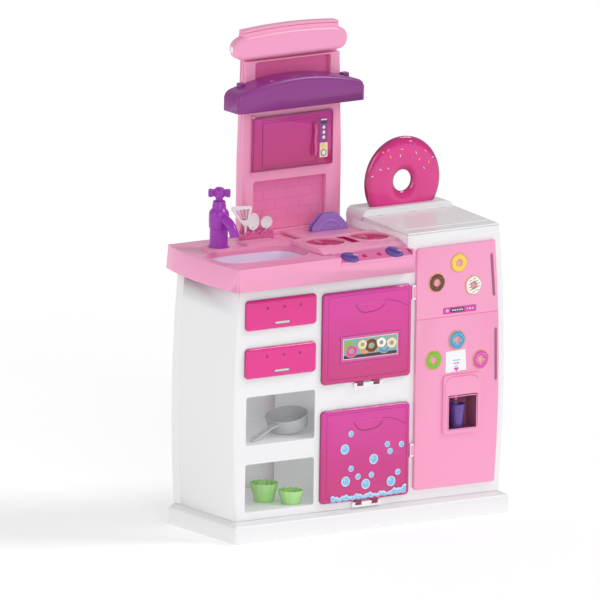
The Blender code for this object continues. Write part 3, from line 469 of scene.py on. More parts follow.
def block(low, high, corner=0.0, axis=1, segments=6):
    """A box whose edges along one axis are rounded."""
    bm = bmesh.new()
    bmesh.ops.create_cube(bm, size=1.0)
    low, high = Vector(low), Vector(high)
    bmesh.ops.scale(bm, vec=high - low, verts=bm.verts)
    move(bm, (low + high) / 2)
    if corner:
        along = [e for e in bm.edges if abs((e.verts[1].co - e.verts[0].co).normalized()[axis]) > 0.99]
        bmesh.ops.bevel(bm, geom=along, offset=corner, offset_type="OFFSET", segments=segments, profile=0.5,
                        affect="EDGES", material=-1)
    return bm


def cushion(low, high, corner, inset, depth, closed=True, steps=6):
    """A round-cornered panel in XZ whose front edge rolls over on a quarter of an oval."""
    bm = bmesh.new()
    back = bm.faces.new([bm.verts.new((x, high.y, z))
                         for x, z in round_box(low.x, low.z, high.x, high.z, corner, 8)])
    grown = bmesh.ops.extrude_face_region(bm, geom=[back])["geom"]
    bmesh.ops.translate(bm, vec=(0, low.y + depth - high.y, 0),
                        verts=[part for part in grown if isinstance(part, bmesh.types.BMVert)])
    front = [part for part in grown if isinstance(part, bmesh.types.BMFace)]
    bmesh.ops.recalc_face_normals(bm, faces=bm.faces)
    turns = [math.pi / 2 * i / steps for i in range(steps + 1)]
    for before, after in zip(turns, turns[1:]):
        bmesh.ops.inset_region(bm, faces=front, use_even_offset=True,
                               thickness=inset * (math.cos(before) - math.cos(after)),
                               depth=depth * (math.sin(after) - math.sin(before)))
    bmesh.ops.inset_region(bm, faces=front, use_even_offset=True, thickness=0.0012)
    if not closed:
        bmesh.ops.delete(bm, geom=[max(bm.faces, key=lambda f: f.calc_center_median().y)], context="FACES")
    return bm


def turned(profile, centre, axis="Z", steps=None):
    """A profile of (radius, height) points spun round an axis through the centre."""
    bm = bmesh.new()
    verts = [bm.verts.new((r, 0.0, z)) for r, z in profile]
    edges = [bm.edges.new(pair) for pair in zip(verts, verts[1:])]
    bmesh.ops.spin(bm, geom=verts + edges, cent=(0, 0, 0), axis=(0, 0, 1), dvec=(0, 0, 0), angle=2 * math.pi,
                   steps=steps or sizes().round_steps, use_merge=True)
    bmesh.ops.remove_doubles(bm, verts=bm.verts, dist=1e-6)
    bmesh.ops.dissolve_degenerate(bm, dist=1e-7, edges=bm.edges)
    bmesh.ops.recalc_face_normals(bm, faces=bm.faces)
    turns = {"Z": Matrix.Identity(3), "Y": Matrix.Rotation(math.radians(-90), 3, "X"),
             "X": Matrix.Rotation(math.radians(90), 3, "Y")}
    bmesh.ops.rotate(bm, cent=(0, 0, 0), matrix=turns[axis], verts=bm.verts)
    move(bm, centre)
    return bm


def curve_mesh(curve):
    """A curve turned into a merged bmesh."""
    source = bpy.data.objects.new("outline", curve)
    bpy.context.scene.collection.objects.link(source)
    graph = bpy.context.evaluated_depsgraph_get()
    mesh = bpy.data.meshes.new_from_object(source.evaluated_get(graph))
    bpy.data.objects.remove(source, do_unlink=True)
    bm = bmesh.new()
    bm.from_mesh(mesh)
    bpy.data.meshes.remove(mesh)
    bmesh.ops.remove_doubles(bm, verts=bm.verts, dist=1e-6)
    bmesh.ops.recalc_face_normals(bm, faces=bm.faces)
    return bm


def sheet(loops, near, far, plane="XZ"):
    """A flat outline, with the later loops as holes, given a thickness from near to far across its plane."""
    curve = bpy.data.curves.new("sheet", "CURVE")
    curve.dimensions = "2D"
    curve.fill_mode = "BOTH"
    curve.extrude = abs(far - near) / 2
    for loop in loops:
        spline = curve.splines.new("POLY")
        spline.points.add(len(loop) - 1)
        for point, (u, v) in zip(spline.points, loop):
            point.co = (u, v, 0.0, 1.0)
        spline.use_cyclic_u = True
    bm = curve_mesh(curve)
    bmesh.ops.dissolve_limit(bm, angle_limit=math.radians(0.4), verts=bm.verts, edges=bm.edges)
    middle = (near + far) / 2
    if plane == "XZ":
        rotate(bm, 90, "X")
        move(bm, (0, middle, 0))
    elif plane == "YZ":
        bmesh.ops.transform(bm, matrix=Matrix(((0, 0, 1, 0), (1, 0, 0, 0), (0, 1, 0, 0), (0, 0, 0, 1))),
                            verts=bm.verts)
        move(bm, (middle, 0, 0))
    else:
        move(bm, (0, 0, middle))
    return bm


def bar(route, radius, sides=3, taper=None):
    """A round bar along a smooth curve through the route."""
    curve = bpy.data.curves.new("bar", "CURVE")
    curve.dimensions = "3D"
    curve.bevel_depth = radius
    curve.bevel_resolution = sides
    curve.use_fill_caps = True
    curve.resolution_u = 8
    spline = curve.splines.new("BEZIER")
    spline.bezier_points.add(len(route) - 1)
    for index, (point, place) in enumerate(zip(spline.bezier_points, route)):
        point.co = place
        point.handle_left_type = point.handle_right_type = "AUTO"
        if taper:
            point.radius = taper[index]
    return curve_mesh(curve)


def arc(cx, cz, radius, start, end, steps=10):
    """Points on an arc, from one angle to another in degrees."""
    return [(cx + radius * math.cos(math.radians(start + (end - start) * i / steps)),
             cz + radius * math.sin(math.radians(start + (end - start) * i / steps)))
            for i in range(steps + 1)]


def round_box(x0, z0, x1, z1, radius, steps=6):
    """Outline of a rectangle with round corners."""
    return (arc(x1 - radius, z0 + radius, radius, -90, 0, steps)
            + arc(x1 - radius, z1 - radius, radius, 0, 90, steps)
            + arc(x0 + radius, z1 - radius, radius, 90, 180, steps)
            + arc(x0 + radius, z0 + radius, radius, 180, 270, steps))


def circle(x, z, radius, steps=48):
    return arc(x, z, radius, 0, 360 - 360 / steps, steps - 1)


def frame_ring(x0, z0, x1, z1, corner, width, near, far):
    """A flat rounded-rectangle ring."""
    return sheet([round_box(x0, z0, x1, z1, corner),
                  round_box(x0 + width, z0 + width, x1 - width, z1 - width, max(corner - width, 0.0005))],
                 near, far)


def capsule(radius, length, centre, direction, segments=8):
    """A sprinkle: a small round-ended rod."""
    half = length / 2 - radius
    rise = [(radius * math.sin(math.radians(a)), half + radius * math.cos(math.radians(a)))
            for a in (0, 35, 65, 90)]
    bm = turned(rise + [(r, -z) for r, z in rise[::-1]], (0, 0, 0), steps=segments)
    turn = Vector(direction).to_track_quat("Z", "Y").to_matrix()
    bmesh.ops.rotate(bm, cent=(0, 0, 0), matrix=turn, verts=bm.verts)
    move(bm, centre)
    return bm


def paint(bm, index):
    """Gives every face one material slot."""
    for face in bm.faces:
        face.material_index = index
    return bm


def clear_below(bm, height):
    """Keeps only what lies above a height, and closes the cut."""
    cut = bmesh.ops.bisect_plane(bm, geom=bm.verts[:] + bm.edges[:] + bm.faces[:], plane_co=(0, 0, height),
                                 plane_no=(0, 0, -1), clear_outer=True)
    rim = [g for g in cut["geom_cut"] if isinstance(g, bmesh.types.BMEdge)]
    bmesh.ops.holes_fill(bm, edges=rim, sides=0)
    return bm


# ---- casing ----

class KITCHEN_OT_casing(bpy.types.Operator):
    """Builds the white casing: front, sides, back shell and base"""
    bl_idname = "kitchen.casing"
    bl_label = "White casing"

    def execute(self, context):
        self.front_and_sides()
        self.back()
        low, high = box_of("base_plinth")
        wall = 0.0045

        def outer(co):
            return (co.z > 0.03 or co.x < low.x + wall or co.x > high.x - wall or co.y < low.y + wall
                    or co.y > high.y - wall) and not (co.z < 0.002 and low.x + 0.001 < co.x < high.x - 0.001
                                                      and low.y + 0.001 < co.y < high.y - 0.001)
        base = weigh_rims(copy_of("base_plinth"), outer)
        piece("base", base, "white_shell", stands_for=["base_plinth"],
              rounding=sizes().base_edge, weighted=True)
        for node in ("floor_panel", "cabinet_divider", "fridge_divider", "upper_drawer_deck",
                     "lower_drawer_deck", "shelf_deck", "oven_deck", "fridge_shelf", "water_tank"):
            dress(node, "white_inside")
        dress("plate_well", "pink_shell")
        dress("sound_unit", "grey_plastic")
        return {"FINISHED"}

    def front_and_sides(self):
        left, middle, fridge = "left_front_frame", "middle_front_frame", "fridge_front_frame"
        top = box_of(middle)[1].z
        last = copy_of(fridge)
        bmesh.ops.bisect_plane(last, geom=last.verts[:] + last.edges[:] + last.faces[:], plane_co=(0, 0, top),
                               plane_no=(0, 0, 1))
        bm = join(copy_of(left), copy_of(middle), last)
        for first, second in ((left, middle), (middle, fridge)):
            self.close_seam(bm, box_of(first)[1].x, box_of(second)[0].x, top)
        bmesh.ops.dissolve_limit(bm, angle_limit=math.radians(0.4), verts=bm.verts, edges=bm.edges)
        front, back = box_of(left)[0].y, box_of(left)[1].y
        weigh_rims(bm, lambda co: abs(co.y - front) < 1e-4)
        piece("front_frame", bm, "white_shell", stands_for=[left, middle, fridge],
              rounding=sizes().casing_edge, weighted=True)
        for node in ("left_side_panel", "right_side_panel"):
            side = copy_of(node)
            edge = box_of(node)[0].y
            for vert in side.verts:
                if vert.co.y < edge + 0.001:
                    vert.co.y = back + 0.00005
            far = box_of(node)[1].y
            weigh_rims(side, lambda co: co.y > far - 0.001)
            inward = 1 if node.startswith("left") else -1
            for face in side.faces:
                face.material_index = 1 if face.normal.x * inward > 0.7 else 0
            piece(node.replace("_panel", ""), side, ["white_shell", "white_inside"], stands_for=[node],
                  rounding=0.001, weighted=True)

    def close_seam(self, bm, first, second, top):
        """Welds two frames along the hair gap between them."""
        middle = (first + second) / 2
        near = [f for f in bm.faces
                if all(abs(v.co.x - middle) < 3e-4 and v.co.z < top + 1e-4 for v in f.verts)]
        bmesh.ops.delete(bm, geom=near, context="FACES_ONLY")
        rim = [v for v in bm.verts if abs(v.co.x - middle) < 3e-4 and v.co.z < top + 1e-4]
        for vert in rim:
            vert.co.x = middle
        bmesh.ops.remove_doubles(bm, verts=rim, dist=1e-4)

    def back(self):
        low, high = box_of("back_panel")
        shell = weigh_rims(copy_of("back_panel"), lambda co: co.y > high.y - 0.001 or co.y < low.y + 0.001)
        for face in shell.faces:
            face.material_index = 1 if face.normal.y < -0.7 else 0
        piece("back_shell", shell, ["white_shell", "white_inside"], stands_for=["back_panel"],
              rounding=0.0012, weighted=True)
        screws = []
        for x in (0.06, 0.3, 0.62):
            for z in (0.09, 0.3, 0.49):
                cup = turned([(0.0052, 0.0), (0.0052, 0.0009), (0.004, 0.0012), (0.0036, 0.0006),
                              (0.0, 0.0006)],
                             (x, high.y - 0.0002, z), "Y", 32)
                cross = [block((x - 0.0024, high.y + 0.0004, z - 0.0005),
                               (x + 0.0024, high.y + 0.0006, z + 0.0005)),
                         block((x - 0.0005, high.y + 0.0004, z - 0.0024),
                               (x + 0.0005, high.y + 0.0006, z + 0.0024))]
                screws.append(join(cup, *[paint(slot, 1) for slot in cross]))
        piece("back_screws", join(*screws), ["white_shell", "shadow_slot"])
        hatch = block((0.15, high.y - 0.0002, 0.375), (0.235, high.y + 0.0012, 0.435), 0.006)
        latch = block((0.18, high.y + 0.001, 0.424), (0.205, high.y + 0.0022, 0.432), 0.003)
        piece("battery_hatch", join(hatch, latch), "white_shell", rounding=0.0005)


def dress(node, *materials):
    """Gives a CAD node that stays its finish."""
    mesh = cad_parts[node].data
    mesh.materials.clear()
    for material in materials:
        mesh.materials.append(finish(material))


# ---- worktop ----

def power_oval(cx, cy, half_x, half_y, power, steps=72):
    """A rectangle-like oval: the higher the power, the squarer."""
    return [(cx + half_x * math.copysign(abs(math.cos(a)) ** (2 / power), math.cos(a)),
             cy + half_y * math.copysign(abs(math.sin(a)) ** (2 / power), math.sin(a)))
            for a in (2 * math.pi * i / steps for i in range(steps))]


class KITCHEN_OT_worktop(bpy.types.Operator):
    """Builds the pink worktop, the sink rim and the raised seats on it"""
    bl_idname = "kitchen.worktop"
    bl_label = "Worktop"

    def execute(self, context):
        low, high = box_of("countertop")
        top = high.z
        bm = copy_of("countertop")
        for vert in bm.verts:
            co = vert.co
            if co.x < 0.003 and co.y < 0.002 and abs(co.x - low.x) > 0.0004:
                co.x = min(co.x, -0.006)
                co.y = low.y if co.y < low.y + 0.002 else min(co.y, low.y + 0.003)
        weight = bm.edges.layers.float.new("bevel_weight_edge")
        for edge in bm.edges:
            middle = (edge.verts[0].co + edge.verts[1].co) / 2
            if face_angle(edge) > math.radians(28) and edge.is_convex and middle.z > low.z + 0.002:
                edge[weight] = 1.0
        piece("worktop", bm, "pink_shell", stands_for=["countertop"],
              rounding=sizes().counter_edge, weighted=True, segments=4)
        sink_low, sink_high = box_of("sink_basin")
        centre = (sink_low + sink_high) / 2
        half = (sink_high - sink_low) / 2
        rim = sheet([power_oval(centre.x, centre.y, half.x + 0.005, half.y + 0.005, BASIN_POWER),
                     power_oval(centre.x, centre.y, half.x + 0.0002, half.y + 0.0002, BASIN_POWER)],
                    top - 0.0004, top + 0.0011, "XY")
        piece("sink_rim", rim, "pink_shell", rounding=0.0006)
        tap_low, tap_high = box_of("faucet_body")
        x, y = (tap_low.x + tap_high.x) / 2, tap_high.y - TAP_RADIUS
        pedestal = join(sheet([power_oval(x + 0.002, y - 0.001, 0.038, 0.0275, 3.0),
                               circle(x, y, 0.0224)], top - 0.0004, top + 0.004, "XY"),
                        sheet([power_oval(x + 0.002, y - 0.001, 0.033, 0.025, 3.0),
                               circle(x, y, 0.0224)], top + 0.004, top + 0.0048, "XY"))
        piece("tap_seat", pedestal, "pink_shell", rounding=0.0006)
        rack_low, rack_high = box_of("utensil_rack")
        tray = join(block((rack_low.x - 0.022, rack_low.y - 0.04, top - 0.0004),
                          (rack_high.x - 0.012, rack_low.y - 0.0008, top + 0.0042), 0.006, 2),
                    block((rack_low.x - 0.017, rack_low.y - 0.036, top + 0.0042),
                          (rack_high.x - 0.017, rack_low.y - 0.005, top + 0.005), 0.005, 2))
        piece("utensil_seat", tray, "pink_shell", rounding=0.0012)
        piece("plate_rack_seat", copy_of("plate_rack"), "pink_shell", stands_for=["plate_rack"],
              rounding=0.0006)
        return {"FINISHED"}


class KITCHEN_OT_sink(bpy.types.Operator):
    """Builds the sink's shallow basin and its drain"""
    bl_idname = "kitchen.sink"
    bl_label = "Sink basin"

    def execute(self, context):
        low, high = box_of("sink_basin")
        centre, half = (low + high) / 2, (high - low) / 2
        depth = high.z - low.z
        bm = bmesh.new()
        rings = ((1.0, 0.0), (0.985, 0.06), (0.965, 0.35), (0.94, 0.62), (0.915, 0.76), (0.875, 0.82),
                 (0.6, 0.84), (0.25, 0.86))
        loops = []
        for share, drop in rings:
            oval = power_oval(centre.x, centre.y, half.x * share, half.y * (1 - (1 - share) * 1.4),
                              BASIN_POWER)
            verts = [bm.verts.new((x, y, high.z - drop * depth)) for x, y in oval]
            loops.append([bm.edges.new(pair) for pair in zip(verts, verts[1:] + verts[:1])])
        for first, second in zip(loops, loops[1:]):
            bmesh.ops.bridge_loops(bm, edges=first + second)
        bmesh.ops.holes_fill(bm, edges=loops[-1], sides=0)
        bmesh.ops.recalc_face_normals(bm, faces=bm.faces)
        if max(bm.faces, key=lambda f: f.calc_area()).normal.z < 0:
            bmesh.ops.reverse_faces(bm, faces=bm.faces)
        for face in bm.faces:
            face.material_index = 1 if face.calc_center_median().z > high.z - 0.36 * depth else 0
        basin = piece("basin", bm, ["lilac_plastic", "tile_joint"], stands_for=["sink_basin"])
        wall = basin.modifiers.new("wall", "SOLIDIFY")
        wall.thickness = 0.0015
        wall.offset = -1.0
        floor = high.z - 0.86 * depth
        drain = turned([(0.0, 0.0003), (0.0025, 0.0003), (0.006, 0.0001), (0.0085, 0.0009), (0.01, 0.0009),
                        (0.0105, -0.0004), (0.0, -0.0004)], (centre.x + 0.012, centre.y, floor), steps=48)
        piece("drain", drain, "silver_paint")
        return {"FINISHED"}


class KITCHEN_OT_tap(bpy.types.Operator):
    """Builds the clear violet tap and its turning handle"""
    bl_idname = "kitchen.tap"
    bl_label = "Tap"

    def execute(self, context):
        low, high = box_of("faucet_body")
        x, y, z = (low.x + high.x) / 2, high.y - TAP_RADIUS, low.z
        column = [(0.0, 0.101), (0.0105, 0.101), (0.0128, 0.0995), (0.0132, 0.0975), (0.0132, 0.093),
                  (0.0142, 0.0915), (0.0142, 0.085), (0.0165, 0.082), (0.0197, 0.078), (0.0208, 0.073),
                  (0.021, 0.061), (0.0208, 0.05), (0.0203, 0.0445), (0.0189, 0.0432), (0.0186, 0.0424),
                  (0.0187, 0.041), (0.0187, 0.007), (0.019, 0.0052), (0.0212, 0.0042), (0.022, 0.003),
                  (0.022, 0.0), (0.0, 0.0)]
        body = turned(column, (x, y, z))
        bend = [(x, y - 0.006, z + 0.064), (x, y - 0.02, z + 0.0645), (x, y - 0.033, z + 0.061),
                (x, y - 0.045, z + 0.054), (x, y - 0.053, z + 0.045), (x, y - 0.0572, z + 0.034)]
        spout = bar(bend, 0.01, sides=10, taper=[1.0, 1.0, 1.0, 0.98, 0.96, 0.97])
        lip = turned([(0.01, 0.002), (0.0105, 0.0), (0.01, -0.002), (0.0078, -0.002), (0.0078, 0.002),
                      (0.01, 0.002)], (0, 0, 0), steps=40)
        rotate(lip, -17, "X")
        move(lip, (x, y - 0.057, z + 0.0355))
        piece("tap_body", join(body, spout, lip), "violet_clear", stands_for=["faucet_body"])

        head_low, head_high = box_of("faucet_handle")
        neck = head_low.z
        tall = head_high.z - neck
        head = turned([(0.0, tall), (0.006, tall - 0.0004), (0.0092, tall - 0.0026), (0.0112, tall - 0.006),
                       (0.0108, tall - 0.018), (0.009, tall - 0.0215), (0.007, tall - 0.0225),
                       (0.008, 0.0), (0.0, 0.0)], (x, y, neck))
        arms = []
        for quarter in range(4):
            arm = sheet([[(0.006, 0.0078), (0.011, 0.0068), (0.0195, 0.0078), (0.0222, 0.0066),
                          (0.0228, 0.0035), (0.0228, -0.004), (0.0222, -0.008), (0.0195, -0.0094),
                          (0.011, -0.0076), (0.006, -0.008)]], -0.0056, 0.0056)
            for vert in arm.verts:
                vert.co.y *= 0.62 + 0.38 * min(1.0, max(0.0, (vert.co.x - 0.007) / 0.013))
            rotate(arm, 90 * quarter + TAP_TURN, "Z")
            move(arm, (x, y, neck + 0.5 * tall + 0.002))
            arms.append(arm)
        piece("tap_handle", head, "violet_clear", "faucet_handle", ["faucet_handle"])
        piece("tap_arms", join(*arms), "violet_clear", "faucet_handle", rounding=0.0022,
              segments=4)
        return {"FINISHED"}


# ---- hob and controls ----

class KITCHEN_OT_hob(bpy.types.Operator):
    """Builds the hob, its two burners and the sloped control panel"""
    bl_idname = "kitchen.hob"
    bl_label = "Hob"

    def execute(self, context):
        low, high = box_of("hob_plate")
        top = high.z
        deck = weigh_rims(copy_of("hob_plate"), lambda co: co.z > top - 0.0125 and co.y > 0.026)
        piece("hob_deck", deck, "pink_shell", stands_for=["hob_plate"], rounding=0.0012,
              weighted=True)
        for side in ("left", "right"):
            node = side + "_burner"
            b_low, b_high = box_of(node)
            x, y, r = (b_low.x + b_high.x) / 2, (b_low.y + b_high.y) / 2, (b_high.x - b_low.x) / 2
            ring = turned([(r + 0.0034, 0.0), (r + 0.003, 0.0012), (r + 0.0006, 0.0015), (r - 0.0006, 0.0004),
                           (r - 0.0008, -0.003), (r + 0.0001, -0.003), (r + 0.0002, -0.0002),
                           (r + 0.0034, 0.0)],
                          (x, y, top))
            piece(side + "_burner_ring", ring, "pink_shell")
            floor = b_low.z - top
            face = [(0.0, floor + 0.0034), (0.003, floor + 0.0034), (0.0042, floor + 0.0022)]
            for groove in range(1, 5):
                start = 0.0042 + groove * 0.0066
                face += [(start, floor + 0.0022), (start + 0.0008, floor + 0.0032),
                         (start + 0.0038, floor + 0.0032), (start + 0.0046, floor + 0.0022)]
            disc = turned(face + [(r - 0.0009, floor + 0.0022), (r - 0.0009, floor), (0.0, floor)],
                          (x, y, top))
            piece(side + "_burner_disc", disc, "burner_red", stands_for=[node])
        rest = join(block((0.32, 0.0625, top - 0.0048), (0.3395, 0.1225, top - 0.004), 0.002, 2),
                    sheet([round_box(0.3197, 0.0622, 0.3398, 0.1228, 0.002),
                           round_box(0.321, 0.0635, 0.3385, 0.1215, 0.0015)], top - 0.0045, top + 0.0002,
                          "XY"))
        piece("spoon_rest", rest, "burner_red")
        self.panel_face()
        return {"FINISHED"}

    def panel_face(self):
        """The darker, round-ended face of the control panel, lying on its slope."""
        holes = []
        for node, margin in (("left_knob", 0.003), ("right_knob", 0.003), ("left_button", 0.0007),
                             ("right_button", 0.0007)):
            b_low, b_high = box_of(node)
            wide = 0.005 if "knob" in node else (b_high.x - b_low.x) / 2
            holes.append(circle((b_low.x + b_high.x) / 2, 0.0, wide + margin, 28))
        face = sheet([round_box(0.242, -0.0148, 0.4175, 0.019, 0.011)] + holes, 0.0, 0.00025, "XY")
        place_on_panel(face)
        piece("panel_face", face, "deep_pink")


def panel_tilt():
    """Slope of the control panel, from the height of its buttons' boxes: front edge to back edge."""
    return math.atan2(0.015, 0.038)


def place_on_panel(bm, x=0.0):
    """Turns a flat piece onto the sloped panel, its origin on the line through the knobs."""
    low = box_of("hob_plate")[0]
    bmesh.ops.rotate(bm, cent=(0, 0, 0), matrix=Matrix.Rotation(panel_tilt(), 3, "X"), verts=bm.verts)
    height = low.z + 0.004 + 0.016 * math.tan(panel_tilt())
    move(bm, (x, low.y + 0.016, height))
    return bm


class KITCHEN_OT_controls(bpy.types.Operator):
    """Builds the two knobs with their pointers and the two push buttons"""
    bl_idname = "kitchen.controls"
    bl_label = "Knobs and buttons"

    def execute(self, context):
        for side, angle in (("left", -25), ("right", -50)):
            node = side + "_knob"
            low, high = box_of(node)
            x = (low.x + high.x) / 2
            cap = turned([(0.0, 0.0046), (0.009, 0.0046), (0.015, 0.004), (0.0168, 0.003), (0.0176, 0.0016),
                          (0.019, 0.001), (0.019, 0.0004), (0.0044, 0.0004), (0.0044, -0.0042),
                          (0.0, -0.0042)],
                         (0, 0, 0), steps=96)
            for vert in cap.verts:
                reach = vert.co.xy.length
                if 0.0145 < reach < 0.018:
                    flute = 1.0 + 0.018 * math.cos(24 * math.atan2(vert.co.y, vert.co.x))
                    vert.co.x *= flute
                    vert.co.y *= flute
            grip = block((-0.015, -0.0033, 0.0036), (0.015, 0.0033, 0.0086), 0.003, 2)
            bmesh.ops.bevel(grip, geom=[e for e in grip.edges if face_angle(e) > 1.0 and
                                        min(v.co.z for v in e.verts) > 0.008],
                            offset=0.0012, offset_type="OFFSET", segments=3, profile=0.5, affect="EDGES",
                            material=-1)
            pointer = block((0.005, -0.0009, 0.0084), (0.0148, 0.0009, 0.0088), 0.0007, 2)
            knob = join(cap, grip, paint(pointer, 1))
            rotate(knob, angle, "Z")
            place_on_panel(knob, x)
            piece(side + "_knob_cap", knob, ["knob_purple", "white_tools"], node, [node])
            node = side + "_button"
            low, high = box_of(node)
            dome = turned([(0.0, 0.0035), (0.0014, 0.0034), (0.0028, 0.0029), (0.004, 0.0019),
                           (0.0048, 0.0006), (0.005, -0.0003), (0.005, -0.0014), (0.0, -0.0014)], (0, 0, 0),
                          steps=40)
            place_on_panel(dome, (low.x + high.x) / 2)
            piece(side + "_button_cap", dome, "burner_red", node, [node])
        return {"FINISHED"}


# ---- loose things on the worktop ----

class KITCHEN_OT_plates(bpy.types.Operator):
    """Builds the two octagonal plates in their rack"""
    bl_idname = "kitchen.plates"
    bl_label = "Plates"

    def execute(self, context):
        for node in ("front_plate", "rear_plate"):
            low, high = box_of(node)
            centre, half = (low + high) / 2, (high - low) / 2
            corner = math.tan(math.radians(22.5))
            outline = [(centre.x + sx * half.x * a, centre.z + sz * half.z * b) for sx, sz, a, b in
                       ((1, 1, 1, corner), (1, 1, corner, 1), (-1, 1, corner, 1), (-1, 1, 1, corner),
                        (-1, -1, 1, corner), (-1, -1, corner, 1), (1, -1, corner, 1), (1, -1, 1, corner))]
            slab = sheet([outline], low.y + 0.0008, high.y)
            rim_face = min(slab.faces, key=lambda f: f.calc_center_median().y)
            bmesh.ops.inset_region(slab, faces=[rim_face], thickness=0.005, depth=-0.0006,
                                   use_even_offset=True)
            bowl = turned([(0.0245, 0.001), (0.0262, -0.0004), (0.0285, -0.0009), (0.03, -0.0004),
                           (0.031, 0.001), (0.0245, 0.001)], (centre.x, low.y + 0.0012, centre.z), "Y")
            bowl_side = turned([(0.0165, 0.001), (0.0172, -0.0002), (0.0186, -0.0002), (0.0193, 0.001),
                                (0.0165, 0.001)], (centre.x, low.y + 0.001, centre.z), "Y")
            for part in (bowl, bowl_side):
                bmesh.ops.recalc_face_normals(part, faces=part.faces)
            piece(node.replace("_plate", "_octagon_plate"), join(slab, bowl, bowl_side), "purple_plastic",
                  node, [node], rounding=0.0006)
        return {"FINISHED"}


class KITCHEN_OT_utensils(bpy.types.Operator):
    """Builds the clear utensil rack, the turner, the ladle and the spoon"""
    bl_idname = "kitchen.utensils"
    bl_label = "Utensils"

    def execute(self, context):
        low, high = box_of("utensil_rack")
        wall = 0.002
        count = 5
        pitch = (high.x - low.x) / count
        crest = []
        for i in range(count):
            middle = high.x - pitch * (i + 0.5)
            crest += arc(middle, high.z - 0.0062, 0.0062, 0, 180, 10)
        outline = [(low.x, low.z), (high.x, low.z)] + crest
        parts = [sheet([outline, *[circle(high.x - pitch * (i + 0.5), high.z - 0.0072, 0.0024, 20)
                                   for i in range(count)]], y, y + wall) for y in (low.y, high.y - wall)]
        parts += [block((x, low.y + wall, low.z), (x + wall, high.y - wall, high.z - 0.008))
                  for x in (low.x, high.x - wall)]
        parts.append(block((low.x + wall, low.y + wall, low.z), (high.x - wall, high.y - wall, low.z + wall)))
        piece("utensil_holder", join(*parts), "rack_clear", stands_for=["utensil_rack"],
              rounding=0.0004, segments=2)
        self.turner()
        for node, wide, tall in (("ladle", 0.0143, 0.0178), ("serving_spoon", 0.0145, 0.0125)):
            s_low, s_high = box_of(node)
            right = node == "serving_spoon"
            head_x = s_high.x - wide if right else s_low.x + wide
            head_z, y = s_high.z - tall, s_low.y
            bowl = turned([(0.0, 0.003), (0.5, 0.0026), (0.82, 0.0016), (0.97, 0.0006), (1.0, 0.0),
                           (0.97, -0.0004), (0.8, 0.0004), (0.5, 0.0012), (0.0, 0.0015)], (0, 0, 0), "Y")
            for vert in bowl.verts:
                lobe = 1.0 + (0.05 * math.cos(9 * math.atan2(vert.co.z, vert.co.x)) if right else 0.0)
                vert.co = (head_x + vert.co.x * wide * lobe, y + 0.0006 + vert.co.y,
                           head_z + vert.co.z * tall * lobe)
            stem_x = (s_low.x + 0.011 + 0.0022) if right else s_high.x - 0.0113
            stem = bar([(stem_x, y + 0.0016, s_low.z + 0.001), (stem_x, y + 0.0016, 0.57),
                        (head_x, y + 0.0016, head_z - 0.5 * tall)], 0.0015, taper=[0.9, 1.0, 1.2])
            piece(node + "_tool", join(bowl, stem), "white_tools", node, [node])
        return {"FINISHED"}

    def turner(self):
        low, high = box_of("turner")
        blade = [(low.x + 0.0325, 0.608), (low.x + 0.0405, 0.607), (high.x, 0.642)] + \
            arc(high.x - 0.004, 0.6455, 0.0032, 0, 80, 4) + arc(low.x + 0.0035, 0.649, 0.003, 90, 180, 4) + \
            [(low.x + 0.001, 0.644)]
        foot, crown = (low.x + 0.0265, low.x + 0.042, 0.621), (low.x + 0.0068, low.x + 0.0476, 0.643)
        slots = []
        for share in (0.14, 0.38, 0.62, 0.86):
            a, b = [(left + share * (right - left), z, 0.1 * (right - left)) for left, right,
                    z in (foot, crown)]
            slots.append([(a[0] - a[2], a[1]), (a[0] + a[2], a[1]), (b[0] + b[2], b[1]), (b[0] - b[2], b[1])])
        head = sheet([blade] + slots, low.y + 0.0006, low.y + 0.0026)
        stem = block((low.x + 0.0345, low.y + 0.0006, low.z), (low.x + 0.0388, low.y + 0.0028, 0.612), 0.0008,
                     2, 2)
        piece("turner_tool", join(head, stem), "white_tools", "turner", ["turner"],
              rounding=0.0004, segments=2)


# ---- drawers and cabinet doors ----

class KITCHEN_OT_drawers(bpy.types.Operator):
    """Builds the two magenta drawers with their pulls and trays"""
    bl_idname = "kitchen.drawers"
    bl_label = "Drawers"

    def execute(self, context):
        for level in ("upper", "lower"):
            body, node = level + "_drawer", level + "_drawer_front"
            low, high = box_of(node)
            front = cushion(low, high, 0.0082, 0.0062, 0.005)
            # The sideways faces of the rolled edge take the darker magenta: painted shade round the drawer
            # front
            for face in front.faces:
                face.material_index = 1 if abs(face.normal.y) < 0.25 else 0
            piece(body + "_face", front, ["magenta_plastic", "maroon_plastic"], body, [node])
            width, height = high.x - low.x, high.z - low.z
            # Dimple dots in darker magenta: painted shade in the dimples
            dots = [turned([(0.0, 0.0), (0.0013, 0.0001), (0.0021, -0.0006), (0.0027, -0.0001),
                            (0.0029, 0.0004), (0.0, 0.0006)],
                           (low.x + width * share, low.y - 0.0001, high.z - 0.3 * height), "Y", 28)
                    for share in (0.29, 0.53, 0.76)]
            piece(body + "_dots", join(*dots), "maroon_plastic", body)
            slot_low, slot_high = low.x + 0.4 * width, low.x + 0.605 * width
            pull = block((slot_low, low.y - 0.0008, low.z + 0.01),
                         (slot_high, low.y + 0.0014, low.z + 0.0148), 0.0022)
            # A darker magenta plate round the pull: painted shade of the slot behind it
            end = block((slot_low - 0.001, low.y - 0.0003, low.z + 0.0088),
                        (slot_high + 0.0014, low.y + 0.0012, low.z + 0.0156), 0.0028)
            piece(body + "_pull", join(pull, paint(end, 1)), ["silver_paint", "maroon_plastic"], body,
                  rounding=0.0004)
            tray = body + "_tray"
            piece(body + "_bin", copy_of(tray), "white_shell", body, [tray], rounding=0.0006)
        return {"FINISHED"}


